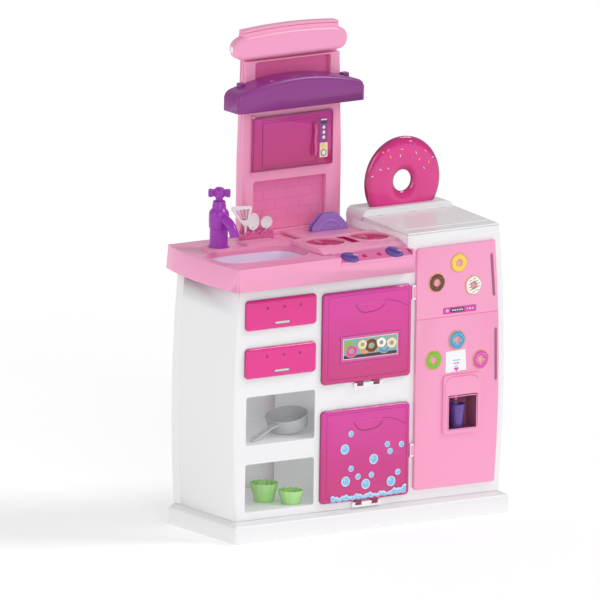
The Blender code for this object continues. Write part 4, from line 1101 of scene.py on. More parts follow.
class KITCHEN_OT_doors(bpy.types.Operator):
    """Builds the clear oven and dishwasher doors with their grips and moulded lines; their edges, grip
    recesses and lines are darkened with painted shade
    """
    bl_idname = "kitchen.doors"
    bl_label = "Oven and dishwasher doors"

    def execute(self, context):
        for name in ("oven", "dishwasher"):
            node = name + "_door"
            low, high = box_of(node)
            foot = low.z + 0.0092
            face = cushion(Vector((low.x, low.y, foot)), high, 0.0095, 0.006, 0.0045, closed=False)
            # The sideways faces of the rolled edge take the darker clear magenta: painted shade round the
            # door
            for part in face.faces:
                part.material_index = 1 if abs(part.normal.y) < 0.25 else 0
            clear = "oven_clear" if name == "oven" else "washer_clear"
            panel = piece(node + "_panel", face, [clear, "magenta_dark"], node, [node])
            wall = panel.modifiers.new("wall", "SOLIDIFY")
            wall.thickness, wall.offset = 0.0022, -1.0
            self.tabs(node, low, foot)
            self.moulding(node, low, high)
            dress(name + "_hinge_pin", "steel")
        piece("oven_grid", copy_of("oven_rack"), "grey_plastic", stands_for=["oven_rack"],
              rounding=0.0005, segments=2)
        piece("dish_rack", copy_of("dish_basket"), "basket_pink", stands_for=["dish_basket"],
              rounding=0.0004, segments=2)
        return {"FINISHED"}

    def tabs(self, node, low, foot):
        """The two hinge tabs with their knuckles round the pin."""
        radius = 0.0032
        pin_y, pin_z = low.y + 0.0045, low.z + radius
        parts = []
        for share in (0.4312, 0.6147):
            x = low.x + share * 0.218
            knuckle = turned([(PIN, -0.0075), (radius, -0.0075), (radius, 0.0075), (PIN, 0.0075),
                              (PIN, -0.0075)],
                             (x, pin_y, pin_z), "X", 32)
            web = block((x - 0.0075, pin_y - 0.0026, pin_z + 0.0022),
                        (x + 0.0075, pin_y + 0.0026, foot + 0.0016))
            parts += [knuckle, web]
        # The hinge tabs take the darker clear magenta: painted shade under the door
        piece(node + "_tabs", join(*parts), "magenta_dark", node)

    def moulding(self, node, low, high):
        width = high.x - low.x
        top = high.z
        y = low.y
        left, right = low.x + 0.365 * width, low.x + 0.69 * width
        # The grip recess and the sweep are bars in darker clear magenta: painted shade
        curve = [(left, y, top - 0.03), (left + 0.007, y, top - 0.04), (left + 0.02, y, top - 0.047),
                 (right - 0.03, y, top - 0.047), (right - 0.01, y, top - 0.042), (right, y, top - 0.034)]
        lower = bar(curve, 0.001, sides=2)
        # The lip is a bar in lighter clear magenta: a painted highlight along the top edge of the grip recess
        lip = bar([(left + 0.006, y, top - 0.0305), (left + 0.03, y, top - 0.029),
                   (right - 0.004, y, top - 0.029)],
                  0.001, sides=2, taper=[0.6, 1.0, 0.6])
        sweep = bar([(right - 0.002, y, top - 0.0265), (right + 0.022, y, top - 0.029),
                     (high.x - 0.01, y, top - 0.044)], 0.0007, sides=2, taper=[0.6, 1.0, 1.0])
        for part, name, material in ((lower, "_grip", "magenta_dark"), (lip, "_grip_lip", "magenta_light"),
                                     (sweep, "_sweep", "magenta_dark")):
            bmesh.ops.scale(part, vec=(1, 0.6, 1), space=Matrix.Translation((0, -y, 0)), verts=part.verts)
            piece(node + name, part, material, node)
        # The outline is a thin ring in darker clear magenta: painted shade of a moulded groove
        outer = frame_ring(low.x + 0.012, low.z + 0.019, high.x - 0.008, top - 0.0085, 0.007, 0.0008,
                           y - 0.0002, y + 0.0004)
        piece(node + "_outline", outer, "magenta_dark", node)


class KITCHEN_OT_pictures(bpy.types.Operator):
    """Builds the films on the doors: a tray of ring cakes, and bubbles over water"""
    bl_idname = "kitchen.pictures"
    bl_label = "Door pictures"

    def execute(self, context):
        self.cakes()
        self.bubbles()
        return {"FINISHED"}

    def cakes(self):
        low, high = box_of("oven_door")
        y = low.y
        x0, x1, z0, z1 = low.x + 0.0425, high.x - 0.029, low.z + 0.0522, low.z + 0.1075
        film = frame_ring(x0, z0, x1, z1, 0.0015, 0.0012, y - 0.0008, y + 0.0001)
        piece("cake_film_edge", film, "print_violet", "oven_door")
        inner = frame_ring(x0 + 0.0012, z0 + 0.0012, x1 - 0.0012, z1 - 0.0012, 0.001, 0.0058, y - 0.0004,
                           y + 0.0001)
        piece("cake_film_border", inner, "magenta_light", "oven_door")
        a0, a1, b0, b1 = x0 + 0.007, x1 - 0.007, z0 + 0.007, z1 - 0.007
        ground = block((a0, y - 0.0005, b0), (a1, y + 0.0001, b1), 0.0008)
        board = block((a0 + 0.0004, y - 0.0007, b0 + 0.0004), (a1 - 0.0004, y - 0.0004, b0 + 0.0075), 0.0006)
        rim = frame_ring(a0 - 0.0005, b0 - 0.0005, a1 + 0.0005, b1 + 0.0005, 0.0012, 0.001, y - 0.0008,
                         y - 0.0003)
        piece("cake_picture", join(ground, paint(board, 1), paint(rim, 2)),
              ["print_teal", "print_dark", "print_white"], "oven_door")
        height = b1 - b0
        rings = ((0.09, 0.62, 0.62, "icing_green"), (0.15, 0.38, 0.74, "icing_pink"),
                 (0.35, 0.66, 0.6, "print_cream"), (0.4, 0.42, 0.6, "dough"),
                 (0.52, 0.56, 0.86, "icing_brown"), (0.7, 0.66, 0.62, "icing_white"),
                 (0.76, 0.4, 0.74, "icing_blue"), (0.91, 0.58, 0.66, "print_cream"))
        for index, (u, v, size, icing) in enumerate(rings):
            r = size * height / 2
            cx, cz = a0 + u * (a1 - a0), b0 + v * height
            cx = min(max(cx, a0 + r * 1.05), a1 - r * 1.05)
            deep = y - 0.0005 - 0.0002 * (index % 3)
            cake = ring_cake(r, 0.0011, (cx, deep, cz), squash=0.86)
            piece("picture_cake_%d" % (index + 1), cake, ["dough", icing], "oven_door")

    def bubbles(self):
        low, high = box_of("dishwasher_door")
        y = low.y
        width, height = high.x - low.x, high.z - low.z
        large, small = 0.0106, 0.0065
        spots = ((0.331, 0.742, small), (0.264, 0.59, large), (0.591, 0.456, large), (0.743, 0.592, small),
                 (0.902, 0.576, small), (0.775, 0.518, small), (0.337, 0.384, small), (0.416, 0.294, small),
                 (0.568, 0.297, small), (0.866, 0.294, small), (0.277, 0.258, large), (0.505, 0.209, large),
                 (0.791, 0.207, large))
        domes, rims, glints = [], [], []
        for u, v, r in spots:
            x, z = low.x + u * width, low.z + v * height
            profile = [(0.0, -0.0013), (0.3 * r, -0.0012), (0.6 * r, -0.0009), (0.78 * r, -0.0006)]
            domes.append(turned(profile + [(0.78 * r, -0.0001), (0.0, -0.0001)], (x, y, z), "Y", 36))
            rims.append(turned([(0.76 * r, -0.0008), (0.88 * r, -0.0007), (r, -0.0003), (r, 0.0),
                                (0.76 * r, 0.0), (0.76 * r, -0.0008)], (x, y, z), "Y", 36))
            glints.append(turned([(0.0, -0.0006), (0.2 * r, -0.0005), (0.24 * r, 0.0), (0.0, 0.0)],
                                 (x - 0.3 * r, y - 0.0011, z + 0.32 * r), "Y", 20))
        piece("bubbles", join(*[b for b in domes], *[paint(b, 1) for b in rims + glints]),
              ["print_blue", "print_sky"], "dishwasher_door")
        self.water(low, high, y)

    def water(self, low, high, y):
        """A strip of rippling water with foam on its crest."""
        x0, x1 = low.x + 0.024, high.x - 0.0085
        base = low.z + 0.012

        def crest(x, share):
            lift = 0.0022 * math.sin(210 * x) + 0.0012 * math.sin(540 * x + 1.0)
            return base + 0.0105 + lift + 0.0095 * max(0.0, share - 0.78) / 0.22
        steps = 60
        shares = [i / steps for i in range(steps + 1)]
        top = [(x0 + (x1 - x0) * s, crest(x0 + (x1 - x0) * s, s)) for s in shares]
        foot = [(x, base + 0.001 * math.sin(400 * x) + 0.003 * s) for (x, _), s in zip(top, shares)]
        foam = [(x, z - 0.0042 - 0.0014 * math.sin(760 * x)) for x, z in top]
        middle = [(x, (a + b) / 2 + 0.0012 * math.sin(330 * x)) for (x, a), (_, b) in zip(foam, foot)]
        body = sheet([foot + foam[::-1]], y - 0.0004, y)
        froth = sheet([foam + top[::-1]], y - 0.0008, y)
        streak = sheet([[(x, z - 0.0009) for x, z in middle] + middle[::-1]], y - 0.0007, y - 0.0003)
        piece("water_strip", join(body, paint(froth, 1), paint(streak, 1)), ["print_blue", "print_sky"],
              "dishwasher_door")


def ring_cake(radius, rise, centre, squash=1.0, hole=0.3):
    """A flat-backed ring cake facing the front: dough below, icing on top."""
    inner = hole * radius
    middle, wide = (radius + inner) / 2, (radius - inner) / 2

    def dome(share, low, high):
        return [(middle + share * wide * math.cos(math.radians(a)),
                 low - (high - low) * math.sin(math.radians(a)))
                for a in range(0, 181, 20)]
    dough = dome(1.0, 0.0, rise * 0.8)
    dough.append(dough[0])
    icing = dome(0.86, 0.0, rise)
    icing.append(icing[0])
    cake = join(paint(turned(dough, (0, 0, 0), "Y", 40), 0), paint(turned(icing, (0, 0, 0), "Y", 40), 1))
    for vert in cake.verts:
        angle = math.atan2(vert.co.z, vert.co.x)
        wobble = 1.0 + 0.02 * math.sin(5 * angle + 1.0) + 0.012 * math.sin(9 * angle)
        vert.co.x *= wobble
        vert.co.z *= wobble * squash
    move(cake, centre)
    return cake


# ---- fridge ----

class KITCHEN_OT_fridge_top(bpy.types.Operator):
    """Builds the fridge's sloping lid, the rounded ridge behind it and its three slots"""
    bl_idname = "kitchen.fridge_top"
    bl_label = "Fridge top"

    def execute(self, context):
        low, high = box_of("fridge_top")
        ridge = box_of("donut_sign")[0].y - 0.0165
        front_top = low.z + 0.0034
        lid = sheet([[(low.y, low.z), (ridge + 0.004, low.z), (ridge + 0.004, front_top + 0.0075),
                      (ridge - 0.004, front_top + 0.0075), (low.y, front_top)]], low.x, high.x, "YZ")
        piece("fridge_lid", lid, "white_shell", stands_for=["fridge_top"], rounding=0.003,
              segments=4)
        step = sheet([[(low.y + 0.03, front_top), (ridge - 0.008, front_top + 0.004),
                       (ridge - 0.008, front_top + 0.0086), (low.y + 0.03, front_top + 0.0022)]],
                     low.x + 0.01, high.x - 0.006, "YZ")
        piece("fridge_lid_step", step, "white_shell", rounding=0.0018, segments=3)
        outline = ([(low.x, low.z), (high.x - 0.002, low.z)] + arc(high.x - 0.017, high.z - 0.015, 0.015, 0,
                                                                   90, 8)
                   + arc(low.x + 0.015, high.z - 0.015, 0.015, 90, 180, 8))
        crest = sheet([outline], ridge, high.y, "XZ")
        weigh_rims(crest, lambda co: co.z > low.z + 0.001)
        piece("fridge_ridge", crest, "white_shell", rounding=0.0075, segments=6, weighted=True)
        slots = []
        for share in (0.14, 0.5, 0.83):
            x = low.x + share * (high.x - low.x)
            z = front_top + 0.0072
            slots.append(join(paint(block((x - 0.0075, ridge - 0.018, z - 0.002), (x + 0.0075, ridge - 0.0145,
                                                                                  z + 0.0012), 0.0014, 2), 1),
                              paint(sheet([round_box(x - 0.0088, ridge - 0.0192, x + 0.0088, ridge - 0.0133,
                                                     0.002),
                                           round_box(x - 0.0075, ridge - 0.018, x + 0.0075, ridge - 0.0145,
                                                     0.0012)], z - 0.001, z + 0.0016, "XY"), 0)))
        piece("fridge_lid_slots", join(*slots), ["white_shell", "shadow_slot"])
        return {"FINISHED"}


class KITCHEN_OT_fridge_door(bpy.types.Operator):
    """Builds the tall pink fridge door with its moulded line, finger pulls, dispenser and cup"""
    bl_idname = "kitchen.fridge_door"
    bl_label = "Fridge door"

    def execute(self, context):
        low, high = box_of("fridge_door")
        face_y = box_of("fridge_door")[0].y
        bm = copy_of("fridge_door")
        split = low.z + 0.705 * (high.z - low.z)
        for height in (split - 0.0012, split, split + 0.0012):
            bmesh.ops.bisect_plane(bm, geom=bm.verts[:] + bm.edges[:] + bm.faces[:], plane_co=(0, 0, height),
                                   plane_no=(0, 0, 1))
        for vert in bm.verts:
            if abs(vert.co.z - split) < 1e-5 and abs(vert.co.y - face_y) < 1e-4:
                vert.co.y += 0.0016
        weight = bm.edges.layers.float.new("bevel_weight_edge")
        for edge in bm.edges:
            on_face = all(abs(v.co.y - face_y) < 1e-4 for v in edge.verts)
            if on_face and face_angle(edge) > math.radians(50) and edge.is_convex:
                edge[weight] = 1.0
        piece("fridge_door_panel", bm, "pink_shell", "fridge_door", ["fridge_door"],
              rounding=0.003, segments=4, weighted=True, sharp=26)
        self.pulls(low, high, face_y)
        self.dispenser()
        return {"FINISHED"}

    def pulls(self, low, high, y):
        width = high.x - low.x
        for name, x_top, x_foot, z_top, z_foot in (("upper_pull", 0.895, 0.93, 0.94, 0.774),
                                                   ("lower_pull", 0.955, 0.965, 0.629, 0.424)):
            a = Vector((low.x + x_top * width, 0, low.z + z_top * (high.z - low.z)))
            b = Vector((low.x + x_foot * width, 0, low.z + z_foot * (high.z - low.z)))
            half = 0.0034
            outline = ([(b.x - half, b.z), (b.x, b.z - half), (b.x + half, b.z)]
                       + [(a.x + half, a.z), (a.x, a.z + half * 1.6), (a.x - half, a.z)])
            # The finger recess is a flat sheet in darker pink: painted shade where the real recess is shaded
            recess = sheet([outline], y - 0.0002, y + 0.0004)
            edge = bar([(a.x + half, y, a.z), ((a.x + b.x) / 2 + half, y, (a.z + b.z) / 2),
                        (b.x + half, y, b.z)],
                       0.0008, sides=3, taper=[0.7, 1.0, 0.7])
            piece(name, join(recess, paint(edge, 1)), ["painted_shade_pink", "pink_shell"], "fridge_door")

    def dispenser(self):
        low, high = box_of("dispenser_housing")
        pocket = copy_of("dispenser_housing")
        # Faces deep in the pocket take the darker pink: painted shade inside the dispenser
        for face in pocket.faces:
            face.material_index = 1 if face.calc_center_median().y > low.y + 0.006 else 0
        weigh_rims(pocket, lambda co: co.y < low.y + 1e-4)
        piece("dispenser", pocket, ["pink_shell", "painted_shade_pink"], "fridge_door", ["dispenser_housing"],
              rounding=0.0024, segments=4, weighted=True)
        width, height = high.x - low.x, high.z - low.z
        crest = [(low.x + 0.006, high.z - 0.012), (low.x + 0.012, high.z - 0.007),
                 (low.x + 0.5 * width, high.z - 0.0035), (high.x - 0.012, high.z - 0.007),
                 (high.x - 0.006, high.z - 0.012)]
        line = bar([(x, low.y, z) for x, z in crest], 0.0007, sides=2)
        inner = frame_ring(low.x + 0.0115, low.z + 0.0075, high.x - 0.008, low.z + 0.635 * height, 0.003,
                           0.0016, low.y - 0.0006, low.y + 0.001)
        step = bar([(low.x + 0.004, low.y + 0.0002, high.z - 0.016),
                    (low.x + 0.004, low.y + 0.0002, low.z + 0.008)],
                   0.0006, sides=2)
        piece("dispenser_lines", join(paint(line, 1), inner, paint(step, 1)), ["pink_shell", "deep_pink"],
              "fridge_door")
        mouth_top = low.z + 0.62 * height
        middle = (low.x + high.x) / 2
        nozzle = turned([(0.0, 0.0), (0.0042, 0.0), (0.0046, 0.001), (0.006, 0.008), (0.006, 0.011),
                         (0.0, 0.011)], (middle, low.y + 0.025, mouth_top - 0.0118), steps=32)
        piece("dispenser_nozzle", nozzle, "deep_pink", "fridge_door")

        c_low, c_high = box_of("dispenser_cup")
        centre = (c_low + c_high) / 2
        tall = c_high.z - c_low.z
        rim = (c_high.x - c_low.x) / 2
        wall = [(rim - 0.0006, tall - 0.0006), (rim, tall - 0.0012), (rim, tall - 0.003),
                (rim - 0.0011, tall - 0.0038), (rim - 0.0058, 0.0016), (rim - 0.0062, 0.0), (0.0, 0.0),
                (0.0, 0.0015), (rim - 0.0074, 0.0015), (rim - 0.0024, tall - 0.0036), (rim - 0.0016, tall),
                (rim - 0.0006, tall - 0.0006)]
        cup = turned(wall, (centre.x, centre.y, c_low.z))
        badge = turned([(0.0, -0.0008), (0.007, -0.0006), (0.0076, 0.0004), (0.0, 0.0004)],
                       (centre.x - 0.001, centre.y - rim + 0.0026, c_low.z + 0.55 * tall), "Y", 36)
        drop = turned([(0.0, -0.0011), (0.0028, -0.001), (0.0034, 0.0), (0.0, 0.0)],
                      (centre.x - 0.001, centre.y - rim + 0.0026, c_low.z + 0.53 * tall), "Y", 28)
        for part in (badge, drop):
            rotate(part, -7, "X", (centre.x, centre.y, c_low.z))
        piece("purple_cup", join(cup, paint(badge, 1), paint(drop, 2)),
              ["knob_purple", "print_blue", "print_white"], "dispenser_cup", ["dispenser_cup"])


class KITCHEN_OT_magnets(bpy.types.Operator):
    """Builds the ring cakes, the note and the control strip on the fridge door"""
    bl_idname = "kitchen.magnets"
    bl_label = "Fridge magnets"

    def execute(self, context):
        low, high = box_of("fridge_door")
        y = low.y
        door = (low.x, low.z, high.x - low.x, high.z - low.z)
        radius = 0.0205

        def spot(u, v):
            return low.x + u * door[2], low.z + v * door[3]
        cakes = (("yellow", 0.516, 0.924, "icing_yellow", "print_white"),
                 ("brown", 0.263, 0.852, "icing_brown", "icing_pink"),
                 ("striped", 0.688, 0.824, "icing_white", "icing_brown"),
                 ("blue", 0.505, 0.605, "icing_blue", "print_white"),
                 ("green", 0.238, 0.532, "icing_green", "icing_yellow"),
                 ("pink", 0.782, 0.513, "icing_pink", "print_white"))
        for name, u, v, icing, topping in cakes:
            x, z = spot(u, v)
            raised = y - 0.0006 if name == "blue" else y
            cake = ring_cake(radius, 0.003, (x, raised, z), hole=0.28)
            bits = []
            if name == "striped":
                for row in range(-2, 3):
                    offset = row * 0.0062
                    reach = math.sqrt(max(0.0, 0.0155 ** 2 - offset ** 2))
                    for side in (-1, 1):
                        near = 0.0062 if abs(offset) < 0.006 else 0.0
                        if near and reach < near:
                            continue
                        start, end = side * max(near, 0.0006), side * reach
                        bits.append(self.stripe(x, z, raised, offset, start, end))
            else:
                for i in range(18):
                    angle = 2.39996 * i
                    reach = 0.0088 + 0.0052 * ((i * 0.618) % 1.0)
                    bits.append(capsule(0.00045, 0.0026, (x + reach * math.cos(angle), raised - 0.0028,
                                                          z + reach * math.sin(angle)),
                                        (math.cos(angle * 3.1), 0, math.sin(angle * 3.1)), 6))
            piece("cake_magnet_" + name, join(cake, *[paint(bit, 2) for bit in bits]),
                  ["dough", icing, topping], "fridge_door")
        self.note(*spot(0.5, 0.512), y)
        self.strip(*spot(0.533, 0.73), y)
        return {"FINISHED"}

    def stripe(self, x, z, y, offset, start, end):
        """One slanted drizzle of icing."""
        slant = math.radians(18)

        def at(along):
            return (x + along * math.cos(slant) - offset * math.sin(slant), y - 0.0027,
                    z + along * math.sin(slant) + offset * math.cos(slant))
        return bar([at(start), at((start + end) / 2), at(end)], 0.0007, sides=1, taper=[0.6, 1.0, 0.6])

    def note(self, x, z, y):
        """A card with three plain lines and a heart on it."""
        card = sheet([[(x - 0.0255, z - 0.0205), (x + 0.0255, z - 0.0175), (x + 0.0225, z + 0.0255),
                       (x - 0.0255, z + 0.024)]], y - 0.0005, y + 0.0001)
        bits = [card]
        for row, (left, right, colour) in enumerate(((-0.008, 0.01, 1), (-0.006, 0.008, 2),
                                                     (-0.0035, 0.005, 1))):
            height = z + 0.0045 - 0.0062 * row
            bits.append(paint(block((x + left, y - 0.0008, height - 0.001),
                                    (x + right, y - 0.0004, height + 0.001), 0.0008), colour))
        heart = [(0.0055 * (math.sin(t) ** 3), 0.005 * (0.8 * math.cos(t) - 0.32 * math.cos(2 * t)
                                                         - 0.12 * math.cos(3 * t) - 0.06 * math.cos(4 * t)))
                 for t in (2 * math.pi * i / 40 for i in range(40))]
        bits.append(paint(sheet([[(x + 0.001 + u, z - 0.014 + v) for u, v in heart]], y - 0.0008, y - 0.0004),
                          2))
        piece("door_note", join(*bits), ["print_white", "print_blue", "icing_pink"], "fridge_door")

    def strip(self, x, z, y):
        """Control strip with a dark display and three dots."""
        half_x, half_z = 0.04, 0.0063
        plate = block((x - half_x, y - 0.0006, z - half_z), (x + half_x, y + 0.0001, z + half_z), 0.0012)
        edge = frame_ring(x - half_x, z - half_z, x + half_x, z + half_z, 0.0012, 0.0009, y - 0.0008,
                          y - 0.0004)
        display = block((x - 0.023, y - 0.0009, z - 0.004), (x + 0.011, y - 0.0005, z + 0.0038), 0.001)
        bits = [plate, paint(edge, 1), paint(display, 2)]
        for i, size in enumerate((0.0012, 0.0017, 0.0014)):
            bits.append(paint(turned([(0.0, -0.0004), (size, -0.0003), (size, 0.0002), (0.0, 0.0002)],
                                     (x + 0.018 + 0.0068 * i, y - 0.0007, z), "Y", 20), 3))
        bits.append(paint(turned([(0.0018, -0.0004), (0.003, -0.0004), (0.003, 0.0002), (0.0018, 0.0002),
                                  (0.0018, -0.0004)], (x - 0.031, y - 0.0007, z), "Y", 24), 3))
        for i in range(5):
            left = x - 0.0195 + 0.0058 * i
            bits.append(paint(block((left, y - 0.0011, z - 0.0012), (left + 0.004, y - 0.0008, z + 0.0012),
                                    0.0004),
                              3))
        piece("door_control_strip", join(*bits), ["icing_pink", "print_violet", "print_dark", "print_white"],
              "fridge_door")


class KITCHEN_OT_sign(bpy.types.Operator):
    """Builds the round ring-cake sign with its sprinkles"""
    bl_idname = "kitchen.sign"
    bl_label = "Ring-cake sign"

    def execute(self, context):
        low, high = box_of("donut_sign")
        centre = Vector(((low.x + high.x) / 2, (low.y + high.y) / 2, 0))
        radius = (high.x - low.x) / 2
        centre.z = high.z - radius
        hole = 0.022
        half = (high.y - low.y) / 2
        middle, wide = (radius + hole) / 2, (radius - hole) / 2

        def depth(r):
            return half * max(0.0, 1 - abs((r - middle) / wide) ** 2.5) ** (1 / 2.5)
        turn = [(middle + wide * math.cos(a), half * math.copysign(abs(math.sin(a)) ** 0.8, math.sin(a)))
                for a in (2 * math.pi * i / 36 for i in range(36))]
        profile = [(middle + math.copysign(abs((r - middle) / wide) ** 0.8, r - middle) * wide, d) for r,
                   d in turn]
        ring = turned(profile + [profile[0]], (0, 0, 0), "Y", 112)
        move(ring, centre)
        clear_below(ring, low.z + 0.0002)
        piece("sign_ring", ring, "sign_gloss", stands_for=["donut_sign"], sharp=50)
        rows = ((0.079, 10, 168, 16), (0.066, 8, 158, 24), (0.053, 6, 146, 22))
        bits = []
        count = 0
        for reach, number, start, end in rows:
            for i in range(number):
                angle = math.radians(start + (end - start) * i / (number - 1) + 5 * math.sin(2.3 * count))
                away = reach + 0.0035 * math.sin(4.1 * count)
                out = centre + Vector((away * math.cos(angle), -depth(away) - 0.0001, away * math.sin(angle)))
                lean = math.radians(67 * count + 20)
                slope = (depth(away + 0.001) - depth(away - 0.001)) / 0.002
                direction = Vector((math.cos(lean), 0, math.sin(lean)))
                radial = Vector((math.cos(angle), 0, math.sin(angle)))
                direction.y = -slope * direction.dot(radial)
                bits.append(paint(capsule(sizes().sprinkle_radius, sizes().sprinkle_length, out, direction),
                                  count % 5))
                count += 1
        piece("sign_sprinkles", join(*bits), ["print_white", "icing_blue", "icing_yellow", "print_sky",
                                              "icing_pink"])
        return {"FINISHED"}


# ---- tower ----

class KITCHEN_OT_tower(bpy.types.Operator):
    """Builds the pink tower, its tiled recess and its upper recess"""
    bl_idname = "kitchen.tower"
    bl_label = "Tower"

    def execute(self, context):
        low, high = box_of("tower_panel")
        face = box_of("hood")[1].y + 0.0003
        bm = weigh_rims(copy_of("tower_panel"), lambda co: abs(co.y - face) < 1e-4)
        piece("tower_front", bm, "pink_shell", stands_for=["tower_panel"],
              rounding=sizes().panel_edge, segments=4, weighted=True)
        back = copy_of("tower_back")
        b_low, b_high = box_of("tower_back")
        weigh_rims(back, lambda co: co.y > b_high.y - 0.001)
        piece("tower_rear", back, "pink_shell", stands_for=["tower_back"], rounding=0.001,
              weighted=True)
        ribs = []
        for i in range(1, 6):
            z = b_low.z + (b_high.z - b_low.z) * i / 6
            ribs.append(block((b_low.x + 0.011, b_low.y + 0.0028, z - 0.001),
                              (b_high.x - 0.011, b_high.y - 0.001,
                                                                              z + 0.001)))
        x = (b_low.x + b_high.x) / 2
        ribs += [block((x + offset - 0.001, b_low.y + 0.0028, b_low.z + 0.004),
                       (x + offset + 0.001, b_high.y - 0.0015, b_high.z - 0.004)) for offset in (-0.06, 0.06)]
        piece("tower_ribs", join(*ribs), "pink_shell", rounding=0.0004, segments=2)
        self.tiles(low, high)
        top = box_of("microwave_door")[1].z
        # The back of the upper recess darkens towards its top with painted shade
        pane = block((low.x + 0.028, high.y - 0.0024, top + 0.017), (high.x - 0.0293, high.y - 0.0004,
                                                                      high.z - 0.0035), 0.004)
        piece("upper_recess_back", pane, "recess_pink", rounding=0.0004)
        return {"FINISHED"}

    def tiles(self, low, high):
        """Rows of shallow wall tiles, each row shifted by half a tile."""
        x0, x1 = low.x + 0.0268, high.x - 0.0364
        z0, z1 = low.z + 0.0091, low.z + 0.1133
        y = high.y
        wall = block((x0, y - 0.0022, z0), (x1, y - 0.0006, z1), 0.003)
        rows, columns, joint = 5, 3, 0.0007
        tall, wide = (z1 - z0) / rows, (x1 - x0) / columns
        tiles = [wall]
        for row in range(rows):
            shift = -wide / 2 if row % 2 else 0.0
            for column in range(columns + (row % 2)):
                left = max(x0, x0 + shift + column * wide) + joint / 2
                right = min(x1, x0 + shift + (column + 1) * wide) - joint / 2
                tile = block((left, y - 0.0027, z0 + row * tall + joint / 2),
                             (right, y - 0.0021, z0 + (row + 1) * tall - joint / 2))
                tiles.append(paint(tile, 1))
        piece("wall_tiles", join(*tiles), ["tile_joint", "tile_pink"], rounding=0.0003,
              segments=2)


class KITCHEN_OT_microwave(bpy.types.Operator):
    """Builds the microwave's clear door with its handle and its control film"""
    bl_idname = "kitchen.microwave"
    bl_label = "Microwave"

    def execute(self, context):
        low, high = box_of("microwave_door")
        back = high.y
        face = back - 0.0057
        body = "microwave_door"
        piece("microwave_panel", copy_of(body), "wave_clear", body, [body], rounding=0.0006,
              segments=2)
        x0, x1, z0, z1 = low.x + 0.0012, high.x, low.z + 0.0036, high.z - 0.0036
        # The trim round the door is darker clear magenta: painted shade at its rim
        trim = frame_ring(x0, z0, x1, z1, 0.006, 0.003, face - 0.0009, face + 0.0002)
        piece("microwave_trim", trim, "magenta_dark", body, rounding=0.0004)
        # The window and panel lines are thin rings in darker clear magenta: painted shade of moulded steps
        window = frame_ring(x0 + 0.0225, z0 + 0.0085, x0 + 0.156, z1 - 0.0125, 0.003, 0.0011, face - 0.0005,
                            face + 0.0002)
        outer = frame_ring(x0 + 0.024, z0 + 0.004, x1 - 0.036, z1 - 0.007, 0.003, 0.0007, face - 0.0004,
                           face + 0.0002)
        piece("microwave_lines", join(window, outer), "magenta_dark", body)
        x = x1 - 0.0477
        grip = bar([(x, face - 0.002, z0 + 0.0215), (x, face - 0.0068, z0 + 0.0245),
                    (x, face - 0.0072, (z0 + z1) / 2), (x, face - 0.0068, z1 - 0.027),
                    (x, face - 0.002, z1 - 0.0245)], 0.0031, sides=6)
        piece("microwave_grip", grip, "magenta_light", body)
        self.film(x1, z0, face, body)
        dress("microwave_turntable", "burner_red")
        return {"FINISHED"}

    def film(self, x1, z0, y, body):
        left, right = x1 - 0.033, x1 - 0.0125
        low, high = z0 + 0.0145, z0 + 0.0975
        middle = (left + right) / 2
        plate = block((left, y - 0.0006, low), (right, y + 0.0001, high), 0.0015)
        display = block((left + 0.0024, y - 0.0009, high - 0.0125),
                        (right - 0.0024, y - 0.0005, high - 0.007), 0.0008)
        light = block((left + 0.003, y - 0.0009, high - 0.0052), (right - 0.003, y - 0.0005, high - 0.003),
                      0.0008)
        warm = block((left + 0.0006, y - 0.0008, low + 0.0006), (right - 0.0006, y - 0.0005, low + 0.031),
                     0.0012)
        bits = [plate, paint(display, 1), paint(light, 2), paint(warm, 3)]
        for i in range(3):
            bits.append(paint(turned([(0.0, -0.0006), (0.003, -0.0005), (0.0036, 0.0), (0.0036, 0.0003),
                                      (0.0, 0.0003)], (middle, y - 0.0007, high - 0.02 - 0.0105 * i), "Y",
                                     28), 2))
        bits.append(paint(turned([(0.0, -0.0009), (0.0044, -0.0008), (0.0052, -0.0002), (0.0052, 0.0002),
                                  (0.0, 0.0002)], (middle, y - 0.0008, low + 0.01), "Y", 32), 2))
        bits.append(paint(turned([(0.0052, -0.0006), (0.0066, -0.0006), (0.0066, 0.0002), (0.0052, 0.0002),
                                  (0.0052, -0.0006)], (middle, y - 0.0007, low + 0.01), "Y", 32), 1))
        for i in range(5):
            angle = math.radians(72 * i + 18)
            bits.append(paint(turned([(0.0, -0.0005), (0.0016, -0.0004), (0.0018, 0.0), (0.0, 0.0)],
                                     (middle + 0.0034 * math.cos(angle), y - 0.0007,
                                      low + 0.0235 + 0.0034 * math.sin(angle)), "Y", 16), 4))
        piece("microwave_film", join(*bits), ["print_violet", "print_dark", "print_white", "print_cream",
                                              "icing_yellow"], body)


